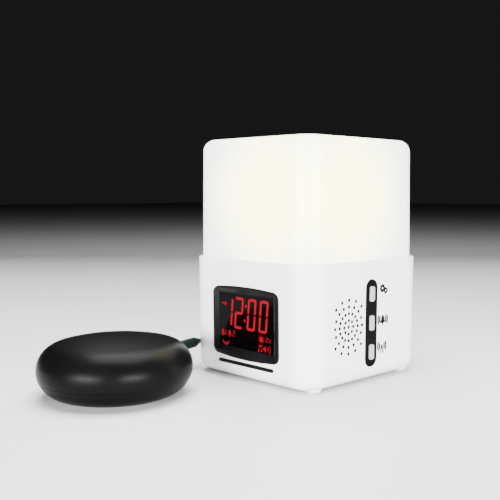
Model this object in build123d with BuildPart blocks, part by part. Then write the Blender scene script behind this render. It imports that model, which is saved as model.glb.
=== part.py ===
from build123d import *
from math import atan2, cos, degrees, dist, pi, radians, sin, sqrt, tan
import os

# Bed shaker alarm clock: a lamp clock on four feet, and a vibrating pad on a cord.
# Millimetres, +Z up. The origin is on the table, under the middle of the clock.
# The display looks along -Y, and the speaker and the three keys along +X.

os.makedirs("parts", exist_ok=True)

# Clock housing
rim_width = 110.0
base_inset = 0.7
foot_height = 0.8
rim_height = 76.7
plan_radius = 16.0
base_fillet = 9.5
rim_round = 1.0
housing_wall = 2.4
seam_place = 1.5
seam_gap = 0.2

# Light shade
shade_inset = 2.25
shade_taper = 0.7
shade_height = 75.6
shade_radius = 15.0
shade_fillet = 7.5
shade_wall = 2.2
shade_seat_depth = 2.0
shade_flange = 2.0
shade_flange_width = 4.9

# Clearances and overruns
fit_gap = 0.15
slide_gap = 0.2
turn_gap = 0.04
stack_gap = 0.1
overrun = 1.0

# Ledge that carries the shade and the lamp tray
ledge_thickness = 3.0
ledge_width = 5.1
ledge_radius = 24.0

# Screws: shank and head radii, and head heights
small_shank = 1.0
small_head = 2.0
small_head_height = 1.3
large_shank = 1.4
large_head = 2.7
large_head_height = 2.0
screw_clearance = 0.05
head_clearance = 0.4
cross_width = 0.8
cross_depth = 0.9

# Bosses
housing_boss_radius = 4.2
housing_boss_room = 4.05
housing_screw_rise = 8.6
housing_screw_drop = 11.2
housing_screw_seat = 8.0
housing_screw_length = 18.0
boss_embed = 0.5
tray_boss_radius = 3.5
tray_boss_length = 8.0
tray_screw_inset = 9.1
tray_screw_length = 7.0
board_boss_radius = 2.5
board_screw_grip = 4.0

# Feet
foot_radius = 4.8
foot_inset = 10.0
front_foot_inset = 14.7
rear_foot_inset = 10.7
foot_rise = 2.0
foot_peg_radius = 1.6
foot_peg_length = 3.2
foot_round = 0.5

# Display window
window_inset = 24.9
window_drop = 16.8
window_top_bow = 1.6
window_rise = 13.3
window_bottom_bow = 2.0
window_radius = 5.0
window_proud = 0.8
window_round = 0.6
window_flange = 1.8
window_flange_thickness = 1.2
lcd_side_inset = 4.9
lcd_upright_inset = 3.8
lcd_rise = 0.8
lcd_bevel = 2.6
lcd_depth = 1.3
lcd_margin = 1.8
lcd_thickness = 2.0
backlight_thickness = 5.6
board_thickness = 1.6
display_board_reach = 7.9
display_board_drop = 1.5
display_board_rise = 2.2
display_tongue_width = 40.0
display_tongue_margin = 5.5
display_screw_inset = 3.0
display_screw_margin = 4.0

# Snooze bar
snooze_boss_room = 3.7
snooze_height = 2.2
snooze_drop = 2.9
snooze_proud = 0.4
snooze_travel = 0.8
snooze_flange = 1.0
snooze_flange_thickness = 0.6

# Tact switches
switch_body = 6.0
switch_plunger_radius = 1.7
switch_plunger_height = 1.0
switch_body_height = 3.5

# Key strip and keys
strip_place = 1.4
strip_width = 10.85
strip_drop = 11.9
strip_rise = 9.2
strip_radius = 5.3
strip_depth = 1.2
strip_proud = 0.25
key_width = 4.0
key_radius = 1.4
key_room = 8.75
key_end_room = 4.475
key_offset = 0.15
key_proud = 1.5
key_round = 0.7
key_travel = 0.6
key_flange = 0.55
key_flange_thickness = 0.8
key_stem_radius = 1.5
key_stem_length = 1.2
switch_board_width = 8.4
switch_board_ear = 8.6
switch_board_ear_height = 7.0
switch_board_inset = 4.5

# Speaker
speaker_corner_room = 1.6
speaker_strip_room = 3.6
speaker_hole_margin = 1.2
speaker_hole_radius = 0.75
speaker_cut_angle = 50.0
speaker_collar = 1.2
speaker_collar_height = 4.0
speaker_gasket_width = 1.7
speaker_gasket_thickness = 0.6
speaker_rim_thickness = 1.2
speaker_basket_wall = 0.8
speaker_cone_depth = 5.0
speaker_cone_wall = 0.5
speaker_voice_radius = 4.0
magnet_radius = 9.0
magnet_height = 6.0

# Rear panel and main board
main_board_width = 58.0
main_board_rise = 4.5
main_board_drop = 16.9
main_board_depth = 10.6
main_screw_inset = 5.0
main_screw_rise = 22.5
jack_level = 15.0
power_jack_x = 23.5
shaker_jack_x = 8.0
power_jack_size = 9.0
power_jack_nose = 4.2
power_bore = 2.8
power_pin = 1.0
power_bore_depth = 9.5
shaker_jack_size = 8.0
shaker_jack_nose = 3.3
plug_pin_radius = 1.75
plug_pin_length = 11.0
plug_tip_length = 2.4
plug_neck_radius = 1.3
jack_recess = 0.3
jack_gap = 0.6
mode_x = -10.0
control_drop = 20.0
mode_body_width = 13.0
mode_body_height = 6.5
mode_body_gap = 1.2
mode_knob_width = 3.0
mode_knob_height = 3.6
mode_knob_proud = 1.1
mode_travel = 2.0
volume_x = 12.0
volume_body_size = 11.0
volume_body_height = 5.0
volume_stem_radius = 2.6
volume_knob_radius = 7.0
volume_knob_height = 7.0
volume_knob_gap = 0.6
volume_knob_round = 0.9
volume_mark_width = 0.9
volume_mark_depth = 0.4
vent_count = 7
vent_pitch = 4.0
vent_width = 1.6
vent_height = 9.0
vent_drop = 12.4

# Board parts: chips and capacitors
chip_size = 12.0
chip_height = 1.6
chip_rise = 1.4
small_chip_width = 6.0
small_chip_length = 9.0
capacitor_radius = 4.0
capacitor_height = 11.0
capacitor_pitch = 10.5

# Batteries
cell_radius = 5.25
cell_length = 43.6
cell_nub_radius = 1.9
cell_nub_length = 0.9
cell_gap = 0.15
cell_lift = 5.0
contact_room = 2.4
contact_plate = 0.4
contact_width = 7.0
contact_spring_radius = 2.6
battery_wall = 1.1
battery_gap = 0.35
battery_top_wall = 1.2
door_thickness = 2.0
door_gap = 0.3
door_width = 46.0
door_front_inset = 2.7
door_rear_inset = 1.95
door_tab_x = 13.0
door_tab_width = 6.0
door_tab_reach = 3.0
door_tab_thickness = 1.4
door_grip_width = 14.0
door_grip_length = 4.0
door_grip_depth = 0.7

# Lamp
tray_thickness = 2.0
tray_gap = 0.3
tray_wire_hole = 5.0
post_width = 20.0
post_wall = 2.0
post_round = 2.0
post_room = 15.0
post_foot_width = 36.0
post_foot_thickness = 2.0
post_screw_place = 14.0
post_screw_length = 3.6
led_board_width = 16.0
led_board_room = 7.3
led_board_thickness = 1.2
led_width = 3.5
led_height = 2.8
led_thickness = 0.8
led_pitch_across = 7.0
led_pitch_up = 12.0

# Vibrating pad
pad_side_room = 19.2
pad_front_room = 70.7
pad_radius = 45.0
pad_height = 35.0
pad_belly = 16.0
pad_shoulder = 15.5
pad_seam = 10.4
pad_wall = 2.2
pad_turn = 107.3
pad_screw_radius = 25.0
pad_post_radius = 3.0
pad_post_top = 31.2
pad_screw_length = 10.0
pad_head_depth = 3.0
motor_radius = 10.0
motor_start = -12.0
motor_end = 13.0
motor_nose_radius = 3.0
motor_nose_length = 1.4
shaft_radius = 1.0
shaft_inside = 12.0
shaft_outside = 11.0
weight_radius = 9.5
weight_hub = 2.8
weight_thickness = 8.0
weight_gap = 1.0
cradle_thickness = 2.0
cradle_width = 25.0
cradle_places = (-8.0, 9.0)
cradle_gap = 0.1
clamp_width = 10.0
clamp_wall = 1.6
clamp_ear_reach = 17.5
clamp_screw_place = 14.4
clamp_boss_radius = 2.4
clamp_screw_length = 7.0

# Cord, its strain relief, coil, tie and plug
cord_radius = 1.4
boot_level = 16.6
boot_radius = 3.4
boot_length = 40.0
boot_straight = 35.0
boot_tip_radius = 1.9
boot_flange_radius = 4.6
boot_flange_thickness = 1.5
boot_neck_radius = 2.8
boot_groove_depth = 0.5
boot_groove_width = 1.2
boot_groove_pitch = 3.2
boot_grooves = 5
boot_run = 9.4
coil_run = 13.0
coil_out_run = 6.0
coil_x = -34.0
coil_reach = 30.1
coil_middle_radius = 16.8
coil_steps = 8
coil_gap = 0.5
tie_thickness = 0.8
tie_width = 5.0
tie_gap = 0.3
tie_round = 1.5
plug_body_radius = 4.5
plug_arm_radius = 3.6
plug_arm_length = 12.0
plug_arm_reach = 7.1
plug_head_reach = 12.2
plug_face_gap = 0.5
plug_round = 0.8
relief_length = 9.0
relief_run = 6.0
relief_start_radius = 2.9
relief_tip_radius = 1.9

# Route of the free cord from the pad's strain relief to the coil, chosen by hand: how far out from the
# clock's left side, where along it as a share of half the clock's width, and how high.
side_route = [
    (10.5, -0.451, 14.4),
    (11.1, -0.249, 9.8),
    (11.2, -0.018, 5.2),
    (11.3, 0.258, 2.2),
    (10.9, 0.507, 1.4),
    (9.6, 0.737, 1.5),
    (5.3, 0.947, 1.7),
]

# Worked-out sizes of the clock
base_width = rim_width - 2 * base_inset
draft = degrees(atan2(base_inset, rim_height - foot_height))
ground_half_width = base_width / 2 - foot_height * tan(radians(draft))
base_plan_radius = plan_radius - base_inset
floor_top = foot_height + housing_wall
seat_level = rim_height - shade_seat_depth
ledge_bottom = seat_level - ledge_thickness
ledge_opening = rim_width - 2 * housing_wall - 2 * ledge_width
tray_level = seat_level + shade_flange
shade_width = rim_width - 2 * shade_inset
shade_top = rim_height + shade_height
shade_draft = degrees(atan2(shade_taper, shade_top - seat_level))


def half_width(z):
    """Half of the housing's outer width at height z."""
    return ground_half_width + z * tan(radians(draft))


# Heights of the front, the right side and the rear, all between the base and the rim
window_width = rim_width - 2 * window_inset
window_top = rim_height - window_drop
window_top_side = window_top - window_top_bow
window_bottom = foot_height + window_rise
window_bottom_side = window_bottom + window_bottom_bow
lcd_opening_width = window_width - 2 * lcd_side_inset
lcd_opening_height = window_top_side - window_bottom_side - 2 * lcd_upright_inset
lcd_centre_height = (window_top_side + window_bottom_side) / 2 + lcd_rise
snooze_level = window_bottom - snooze_drop
display_board_width = window_width + 2 * display_board_reach
display_board_top = window_top_side - display_board_drop
display_board_bottom = window_bottom_side + display_board_rise
display_tongue_bottom = snooze_level - display_tongue_margin
display_screw_x = display_board_width / 2 - display_screw_inset
display_screw_heights = (display_board_bottom + display_screw_margin,
                         display_board_top - display_screw_margin)
strip_top = rim_height - strip_drop
strip_bottom = foot_height + strip_rise
strip_middle = (strip_top + strip_bottom) / 2
key_height = (strip_top - strip_bottom - 2 * key_room - 2 * key_end_room) / 3
key_pitch = key_height + key_room
key_centre = strip_middle + key_offset
switch_board_top = strip_top - switch_board_inset
switch_board_bottom = strip_bottom + switch_board_inset
speaker_front = plan_radius - rim_width / 2 + speaker_corner_room
speaker_radius = (strip_place - speaker_strip_room - speaker_front) / 2
speaker_place = speaker_front + speaker_radius
speaker_level = strip_middle
speaker_hole_step = (speaker_radius - speaker_hole_margin) / 4
main_board_bottom = foot_height + main_board_rise
main_board_top = rim_height - main_board_drop
main_screw_x = main_board_width / 2 - main_screw_inset
main_screw_heights = (main_board_bottom + main_screw_rise, main_board_top - main_screw_inset)
control_level = main_board_top - control_drop
vent_level = rim_height - vent_drop

# Battery bay, its box just in front of the main board
cell_pitch = 2 * cell_radius + cell_gap
bay_depth = 3 * cell_pitch + 2 * cell_gap
bay_width = cell_length + cell_nub_length + 2 * contact_room
battery_rear = base_width / 2 - housing_wall - main_board_depth - board_thickness - battery_gap
battery_front = battery_rear - bay_depth - 2 * battery_wall
battery_middle = (battery_front + battery_rear) / 2
cell_level = cell_lift + cell_radius
bay_top = cell_level + cell_radius + 2 * cell_gap
door_start = battery_front + door_front_inset
door_end = battery_rear - door_rear_inset
door_middle = (door_start + door_end) / 2
housing_screw_x = bay_width / 2 + battery_wall + housing_boss_radius + housing_boss_room
housing_screw_heights = (foot_height + housing_screw_rise, rim_height - housing_screw_drop)
snooze_width = 2 * (housing_screw_x - housing_boss_radius - snooze_flange - snooze_boss_room)
chip_level = (bay_top + battery_top_wall + main_board_top) / 2 + chip_rise

# Places of the pad, the coil and the plug round the clock
pad_x = pad_side_room - ground_half_width
pad_y = -ground_half_width - pad_front_room
coil_y = ground_half_width + coil_reach
plug_arm_level = ground_half_width + plug_arm_reach
plug_head_end = ground_half_width + plug_head_reach


def level(z):
    """Horizontal plane at height z, over the middle of the clock."""
    return Plane.XY.offset(z)


def front(depth):
    """Plane along the front wall's outer face, moved outward by depth."""
    slope = Vector(0, -cos(radians(draft)), -sin(radians(draft)))
    return Plane(origin=(0, -ground_half_width, 0), x_dir=(1, 0, 0), z_dir=slope).offset(depth)


def side(depth):
    """Plane along the right wall's outer face, moved outward by depth."""
    slope = Vector(cos(radians(draft)), 0, -sin(radians(draft)))
    return Plane(origin=(ground_half_width, 0, 0), x_dir=(0, 1, 0), z_dir=slope).offset(depth)


def rear(depth):
    """Plane along the rear wall's outer face, moved outward by depth; its x runs along -X."""
    slope = Vector(0, cos(radians(draft)), -sin(radians(draft)))
    return Plane(origin=(0, ground_half_width, 0), x_dir=(-1, 0, 0), z_dir=slope).offset(depth)


def section_at(plane, x, y):
    """Plane holding the normal of another plane at one of its points: x is radial, y runs outward."""
    origin = plane.from_local_coords((x, y, 0))
    return Plane(origin=origin, x_dir=plane.y_dir, z_dir=plane.y_dir.cross(plane.z_dir))


def pad(z):
    """Horizontal plane at height z over the middle of the pad; its x points to the cord."""
    turn = radians(pad_turn)
    return Plane(origin=(pad_x, pad_y, z), x_dir=(cos(turn), sin(turn), 0), z_dir=(0, 0, 1))


def pad_axis(x):
    """Upright plane across the motor's axis, at x along it; its own x runs sideways and y up."""
    turn = radians(pad_turn)
    along = Vector(cos(turn), sin(turn), 0)
    return Plane(origin=Vector(pad_x, pad_y, 0) + along * x, x_dir=(-sin(turn), cos(turn), 0), z_dir=along)


def corners(place):
    """The four corners of a square of half-width place."""
    return [(x, y) for x in (-place, place) for y in (-place, place)]


def write(piece, name):
    """Label a finished piece and write its file."""
    piece.part.label = name
    export_step(piece.part, f"parts/{name}.step")


def window_outline(grow):
    """Display window with slightly bowed top and bottom, all round larger by grow."""
    half = window_width / 2 + grow
    with BuildSketch() as outline:
        with BuildLine():
            ThreePointArc((-half, window_top_side + grow), (0, window_top + grow),
                          (half, window_top_side + grow))
            Line((half, window_top_side + grow), (half, window_bottom_side - grow))
            ThreePointArc((half, window_bottom_side - grow), (0, window_bottom - grow),
                          (-half, window_bottom_side - grow))
            Line((-half, window_bottom_side - grow), (-half, window_top_side + grow))
        make_face()
        fillet(outline.vertices(), window_radius + grow)
    return outline.sketch


def cross_recess(plane, places):
    """Cross-shaped driver recess, for cutting into screw heads that face along the plane's normal."""
    with BuildPart() as recess:
        with BuildSketch(plane):
            with Locations(*places):
                Rectangle(cross_width, 4 * cross_width)
                Rectangle(4 * cross_width, cross_width)
        extrude(amount=-cross_depth)
    return recess.part


def screws(plane, places, head_radius, head_height, shank_radius, length, name):
    """Screws whose heads sit on the plane and whose shanks go down from it."""
    with BuildPart() as group:
        with BuildSketch(plane):
            with Locations(*places):
                Circle(head_radius)
        extrude(amount=head_height)
        with BuildSketch(plane):
            with Locations(*places):
                Circle(shank_radius)
        extrude(amount=-length)
        add(cross_recess(plane.offset(head_height), places), mode=Mode.SUBTRACT)
    write(group, name)


# Housing: a square, slightly flared shell with a ledge near its rim, later split into two halves.
def housing_form(inset, bottom, top):
    """Solid with the housing's slope and roundings between two heights, its walls moved in by inset."""
    width = 2 * (half_width(bottom) - inset)
    with BuildPart() as form:
        with BuildSketch(level(bottom)):
            RectangleRounded(width, width, base_plan_radius - inset)
        extrude(amount=top - bottom, taper=-draft)
        fillet(form.faces().sort_by(Axis.Z)[0].edges(), base_fillet - inset)
    return form.part


hollow = housing_form(housing_wall, floor_top, ledge_bottom)
boss_limit = housing_form(housing_wall - boss_embed, floor_top - boss_embed, ledge_bottom + boss_embed)
foot_limit = housing_form(-slide_gap / 2, foot_height, rim_height)

with BuildPart() as housing:
    with BuildSketch(level(foot_height)):
        RectangleRounded(base_width, base_width, base_plan_radius)
    extrude(amount=rim_height - foot_height, taper=-draft)
    fillet(housing.faces().sort_by(Axis.Z)[0].edges(), base_fillet)
    fillet(housing.faces().sort_by(Axis.Z)[-1].edges(), rim_round)
    add(hollow, mode=Mode.SUBTRACT)
    with BuildSketch(level(ledge_bottom)):
        RectangleRounded(ledge_opening, ledge_opening, ledge_radius)
    extrude(amount=ledge_thickness, mode=Mode.SUBTRACT)
    with BuildSketch(level(seat_level)):
        seat_width = shade_width + 2 * fit_gap
        RectangleRounded(seat_width, seat_width, shade_radius + fit_gap)
    extrude(amount=shade_seat_depth + overrun, mode=Mode.SUBTRACT)

key_levels = [key_centre + key_pitch * i for i in (1, 0, -1)]

# Everything cut out of the right wall for the key strip and its keys, in both halves.
with BuildPart() as key_cuts:
    with BuildSketch(side(-strip_depth)):
        with Locations((strip_place, strip_middle)):
            RectangleRounded(strip_width + 2 * fit_gap, strip_top - strip_bottom + 2 * fit_gap,
                             strip_radius + fit_gap)
    extrude(amount=strip_depth + overrun)
    with BuildSketch(side(-housing_wall - overrun)):
        with Locations(*[(strip_place, z) for z in key_levels]):
            RectangleRounded(key_width + 4 * slide_gap, key_height + 4 * slide_gap, key_radius + slide_gap)
    extrude(amount=housing_wall + overrun)

# Feet sit in the floor by their pegs.
foot_x = base_width / 2 - foot_inset
foot_places = [(x, y) for x in (-foot_x, foot_x)
               for y in (front_foot_inset - base_width / 2, base_width / 2 - rear_foot_inset)]
with BuildPart() as foot_holes:
    with BuildSketch(level(foot_height)):
        with Locations(*foot_places):
            Circle(foot_peg_radius + screw_clearance)
    extrude(amount=foot_peg_length)

housing_screw_places = [(x, z) for x in (-housing_screw_x, housing_screw_x) for z in housing_screw_heights]
seam_front = seam_place - seam_gap / 2
seam_rear = seam_place + seam_gap / 2
facing_front = Plane(origin=(0, seam_front, 0), x_dir=(1, 0, 0), z_dir=(0, -1, 0))
facing_rear = Plane(origin=(0, seam_rear, 0), x_dir=(-1, 0, 0), z_dir=(0, 1, 0))
tray_width = shade_width - 2 * shade_wall - 2 * tray_gap - 2 * tray_thickness * tan(radians(shade_draft))
tray_screw_place = tray_width / 2 - tray_screw_inset
tray_bosses_front = [(x, y) for x, y in corners(tray_screw_place) if y < 0]
tray_bosses_rear = [(x, y) for x, y in corners(tray_screw_place) if y > 0]

# Depths of the boards behind their walls
lcd_front = window_proud - lcd_depth
lcd_back = lcd_front - lcd_thickness
backlight_back = lcd_back - stack_gap - backlight_thickness
display_board_face = backlight_back - stack_gap
snooze_flange_back = -housing_wall - stack_gap - snooze_flange_thickness
snooze_plunger_top = snooze_flange_back - snooze_travel - stack_gap / 2
key_stem_end = -housing_wall - stack_gap - key_flange_thickness - key_stem_length
key_plunger_top = key_stem_end - key_travel - stack_gap / 2
switch_board_face = key_plunger_top - switch_plunger_height - switch_body_height
main_board_face = -housing_wall - main_board_depth

display_screw_places = [(x, z) for x in (-display_screw_x, display_screw_x) for z in display_screw_heights]
main_screw_places = [(x, z) for x in (-main_screw_x, main_screw_x) for z in main_screw_heights]
ear_place = strip_place + switch_board_width / 2 + switch_board_ear / 2
switch_screw_places = [(ear_place, switch_board_top - switch_board_ear_height / 2),
                       (ear_place, switch_board_bottom + switch_board_ear_height / 2)]

speaker_holes = [(0, 0)]
for ring, count in ((1, 8), (2, 16), (3, 16), (4, 16)):
    for i in range(count):
        angle = 2 * pi * i / count
        upright = abs(cos(angle)) > cos(radians(speaker_cut_angle))
        if ring < 4 or upright:
            reach = ring * speaker_hole_step
            speaker_holes.append((reach * sin(angle), reach * cos(angle)))

# Battery opening in the floor
with BuildPart() as door_opening:
    with BuildSketch(level(foot_height - overrun)):
        with Locations((0, door_middle)):
            Rectangle(door_width + 2 * door_gap, door_end - door_start + 2 * door_gap)
    extrude(amount=housing_wall + 2 * overrun)

with BuildPart() as front_bosses:
    # Bosses that the long screws hold, from the seam to the front wall
    with BuildSketch(facing_front):
        with Locations(*housing_screw_places):
            Circle(housing_boss_radius)
    extrude(amount=rim_width / 2 + seam_front)
    # Posts for the display board
    with BuildSketch(front(display_board_face)):
        with Locations(*display_screw_places):
            Circle(board_boss_radius)
    extrude(amount=-display_board_face)
    # Collar round the speaker, open beside the keys
    with BuildSketch(side(-housing_wall - speaker_collar_height)):
        with Locations((speaker_place, speaker_level)):
            Circle(speaker_radius + fit_gap + speaker_collar)
            Circle(speaker_radius + fit_gap, mode=Mode.SUBTRACT)
        with Locations((strip_place, speaker_level)):
            Rectangle(switch_body + 4 * slide_gap, 2 * speaker_radius, mode=Mode.SUBTRACT)
    extrude(amount=speaker_collar_height + housing_wall)
    add(boss_limit, mode=Mode.INTERSECT)

with BuildPart() as front_housing:
    add(housing.part)
    split(bisect_by=Plane(origin=(0, seam_front, 0), z_dir=(0, 1, 0)), keep=Keep.BOTTOM)
    add(front_bosses.part)
    with BuildSketch(facing_front):
        with Locations(*housing_screw_places):
            Circle(large_shank + screw_clearance)
    extrude(amount=housing_screw_length - housing_screw_seat + overrun, mode=Mode.SUBTRACT)
    # Bosses under the lamp tray
    with BuildSketch(level(tray_level - tray_boss_length)):
        with Locations(*tray_bosses_front):
            Circle(tray_boss_radius)
    extrude(amount=tray_boss_length)
    with BuildSketch(level(tray_level)):
        with Locations(*tray_bosses_front):
            Circle(small_shank + screw_clearance)
    extrude(amount=-tray_screw_length, mode=Mode.SUBTRACT)
    # Screw holes in the display board's posts
    with BuildSketch(front(display_board_face)):
        with Locations(*display_screw_places):
            Circle(small_shank + screw_clearance)
    extrude(amount=-display_board_face - housing_wall, mode=Mode.SUBTRACT)
    # Sound holes
    with BuildSketch(side(-housing_wall - overrun)):
        with Locations(*[(speaker_place + x, speaker_level + y) for x, y in speaker_holes]):
            Circle(speaker_hole_radius)
    extrude(amount=housing_wall + 2 * overrun, mode=Mode.SUBTRACT)
    # Window and snooze slot
    with BuildSketch(front(-housing_wall - overrun)):
        add(window_outline(fit_gap))
        with Locations((0, snooze_level)):
            RectangleRounded(snooze_width + 2 * slide_gap, snooze_height + 2 * slide_gap,
                             snooze_height / 2 + slide_gap - stack_gap)
    extrude(amount=housing_wall + 2 * overrun, mode=Mode.SUBTRACT)
    add(key_cuts.part, mode=Mode.SUBTRACT)
    add(foot_holes.part, mode=Mode.SUBTRACT)
    add(door_opening.part, mode=Mode.SUBTRACT)
write(front_housing, "front_housing")

with BuildPart() as rear_bosses:
    # Bosses for the long screws
    with BuildSketch(facing_rear):
        with Locations(*housing_screw_places):
            Circle(housing_boss_radius)
    extrude(amount=rim_width / 2 - seam_rear)
    # Posts for the switch board
    with BuildSketch(side(switch_board_face)):
        with Locations(*switch_screw_places):
            Circle(board_boss_radius)
    extrude(amount=-switch_board_face)
    # Posts for the main board
    with BuildSketch(rear(main_board_face)):
        with Locations(*main_screw_places):
            Circle(board_boss_radius)
    extrude(amount=-main_board_face)
    add(boss_limit, mode=Mode.INTERSECT)

with BuildPart() as rear_housing:
    add(housing.part)
    split(bisect_by=Plane(origin=(0, seam_rear, 0), z_dir=(0, 1, 0)), keep=Keep.TOP)
    add(rear_bosses.part)
    # Long bosses bored from behind
    with BuildSketch(facing_rear):
        with Locations(*housing_screw_places):
            Circle(large_shank + head_clearance)
    extrude(amount=rim_width, mode=Mode.SUBTRACT)
    with BuildSketch(facing_rear.offset(housing_screw_seat)):
        with Locations(*housing_screw_places):
            Circle(large_head + head_clearance)
    extrude(amount=rim_width, mode=Mode.SUBTRACT)
    # Bosses under the lamp tray
    with BuildSketch(level(tray_level - tray_boss_length)):
        with Locations(*tray_bosses_rear):
            Circle(tray_boss_radius)
    extrude(amount=tray_boss_length)
    with BuildSketch(level(tray_level)):
        with Locations(*tray_bosses_rear):
            Circle(small_shank + screw_clearance)
    extrude(amount=-tray_screw_length, mode=Mode.SUBTRACT)
    # Screw holes in the boards' posts
    with BuildSketch(side(switch_board_face)):
        with Locations(*switch_screw_places):
            Circle(small_shank + screw_clearance)
    extrude(amount=-switch_board_face - housing_wall, mode=Mode.SUBTRACT)
    with BuildSketch(rear(main_board_face)):
        with Locations(*main_screw_places):
            Circle(small_shank + screw_clearance)
    extrude(amount=main_board_depth, mode=Mode.SUBTRACT)
    # Sockets, controls and vents through the rear wall
    with BuildSketch(rear(-housing_wall - overrun)):
        with Locations((-power_jack_x, jack_level)):
            Circle(power_jack_nose + fit_gap)
        with Locations((-shaker_jack_x, jack_level)):
            Circle(shaker_jack_nose + fit_gap)
        with Locations((-volume_x, control_level)):
            Circle(volume_stem_radius + slide_gap)
        with Locations((-mode_x, control_level)):
            Rectangle(mode_knob_width + 2 * mode_travel + 2 * slide_gap, mode_knob_height + 2 * slide_gap)
        with Locations((0, vent_level)):
            with GridLocations(vent_pitch, vent_height, vent_count, 1):
                SlotOverall(vent_height, vent_width, rotation=90)
    extrude(amount=housing_wall + 2 * overrun, mode=Mode.SUBTRACT)
    add(door_opening.part, mode=Mode.SUBTRACT)
    add(key_cuts.part, mode=Mode.SUBTRACT)
    add(foot_holes.part, mode=Mode.SUBTRACT)
write(rear_housing, "rear_housing")

with BuildPart() as feet:
    with BuildSketch(level(0)):
        with Locations(*foot_places):
            Circle(foot_radius)
    extrude(amount=foot_height + foot_rise)
    add(foot_limit, mode=Mode.SUBTRACT)
    fillet(feet.faces().group_by(Axis.Z)[0].edges(), foot_round)
    with BuildSketch(level(foot_height)):
        with Locations(*foot_places):
            Circle(foot_peg_radius)
    extrude(amount=foot_peg_length)
write(feet, "feet")

screws(facing_rear.offset(housing_screw_seat), housing_screw_places, large_head, large_head_height,
       large_shank, housing_screw_length, "housing_screws")

# Light shade: an open-bottomed frosted box with a flange turned in at its foot.
with BuildPart() as shade_hollow:
    with BuildSketch(level(seat_level + shade_flange)):
        hollow_width = shade_width - 2 * shade_wall - 2 * shade_flange * tan(radians(shade_draft))
        RectangleRounded(hollow_width, hollow_width, shade_radius - shade_wall)
    extrude(amount=shade_top - shade_wall - seat_level - shade_flange, taper=shade_draft)
    fillet(shade_hollow.faces().sort_by(Axis.Z)[-1].edges(), shade_fillet - shade_wall)

shade_opening_width = shade_width - 2 * shade_flange_width
with BuildPart() as light_shade:
    with BuildSketch(level(seat_level)):
        RectangleRounded(shade_width, shade_width, shade_radius)
    extrude(amount=shade_top - seat_level, taper=shade_draft)
    fillet(light_shade.faces().sort_by(Axis.Z)[-1].edges(), shade_fillet)
    add(shade_hollow.part, mode=Mode.SUBTRACT)
    with BuildSketch(level(seat_level - overrun)):
        RectangleRounded(shade_opening_width, shade_opening_width, shade_radius - shade_wall)
    extrude(amount=shade_flange + 2 * overrun, mode=Mode.SUBTRACT)
write(light_shade, "light_shade")

# Lamp tray, clamped over the shade's flange
with BuildPart() as lamp_tray:
    with BuildSketch(level(tray_level)):
        RectangleRounded(tray_width, tray_width, shade_radius - shade_wall - tray_gap)
        Circle(tray_wire_hole, mode=Mode.SUBTRACT)
        with Locations(*corners(tray_screw_place)):
            Circle(small_shank + screw_clearance, mode=Mode.SUBTRACT)
        with Locations(*corners(post_screw_place)):
            Circle(small_shank + screw_clearance, mode=Mode.SUBTRACT)
    extrude(amount=tray_thickness)
write(lamp_tray, "lamp_tray")
post_level = tray_level + tray_thickness
screws(level(post_level), corners(tray_screw_place), small_head, small_head_height, small_shank,
       tray_screw_length, "tray_screws")

# Lamp post: a square tube on a foot plate, closed at its top
post_top = shade_top - post_room
post_foot_top = post_level + post_foot_thickness
led_level = (post_foot_top + post_top) / 2
led_board_height = post_top - post_foot_top - 2 * led_board_room
with BuildPart() as lamp_post:
    with BuildSketch(level(post_level)):
        RectangleRounded(post_foot_width, post_foot_width, post_round)
        with Locations(*corners(post_screw_place)):
            Circle(small_shank + screw_clearance, mode=Mode.SUBTRACT)
    extrude(amount=post_foot_thickness)
    with BuildSketch(level(post_level)):
        RectangleRounded(post_width, post_width, post_round)
    extrude(amount=post_top - post_level)
    fillet(lamp_post.faces().sort_by(Axis.Z)[-1].edges(), post_round - stack_gap)
    with BuildSketch(level(post_level)):
        Rectangle(post_width - 2 * post_wall, post_width - 2 * post_wall)
    extrude(amount=post_top - post_level - post_wall, mode=Mode.SUBTRACT)
write(lamp_post, "lamp_post")
screws(level(post_foot_top), corners(post_screw_place), small_head, small_head_height,
       small_shank, post_screw_length, "post_screws")

# Four light boards on the post's faces, each with two columns of three light chips
post_faces = [Plane(origin=(post_width / 2 * sin(a), -post_width / 2 * cos(a), led_level),
                    x_dir=(cos(a), sin(a), 0), z_dir=(sin(a), -cos(a), 0))
              for a in (0, pi / 2, pi, 3 * pi / 2)]
with BuildPart() as led_boards:
    for face in post_faces:
        with BuildSketch(face):
            Rectangle(led_board_width, led_board_height)
        extrude(amount=led_board_thickness)
write(led_boards, "led_boards")
with BuildPart() as led_chips:
    for face in post_faces:
        with BuildSketch(face.offset(led_board_thickness)):
            with GridLocations(led_pitch_across, led_pitch_up, 2, 3):
                Rectangle(led_width, led_height)
        extrude(amount=led_thickness)
write(led_chips, "led_chips")

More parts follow.
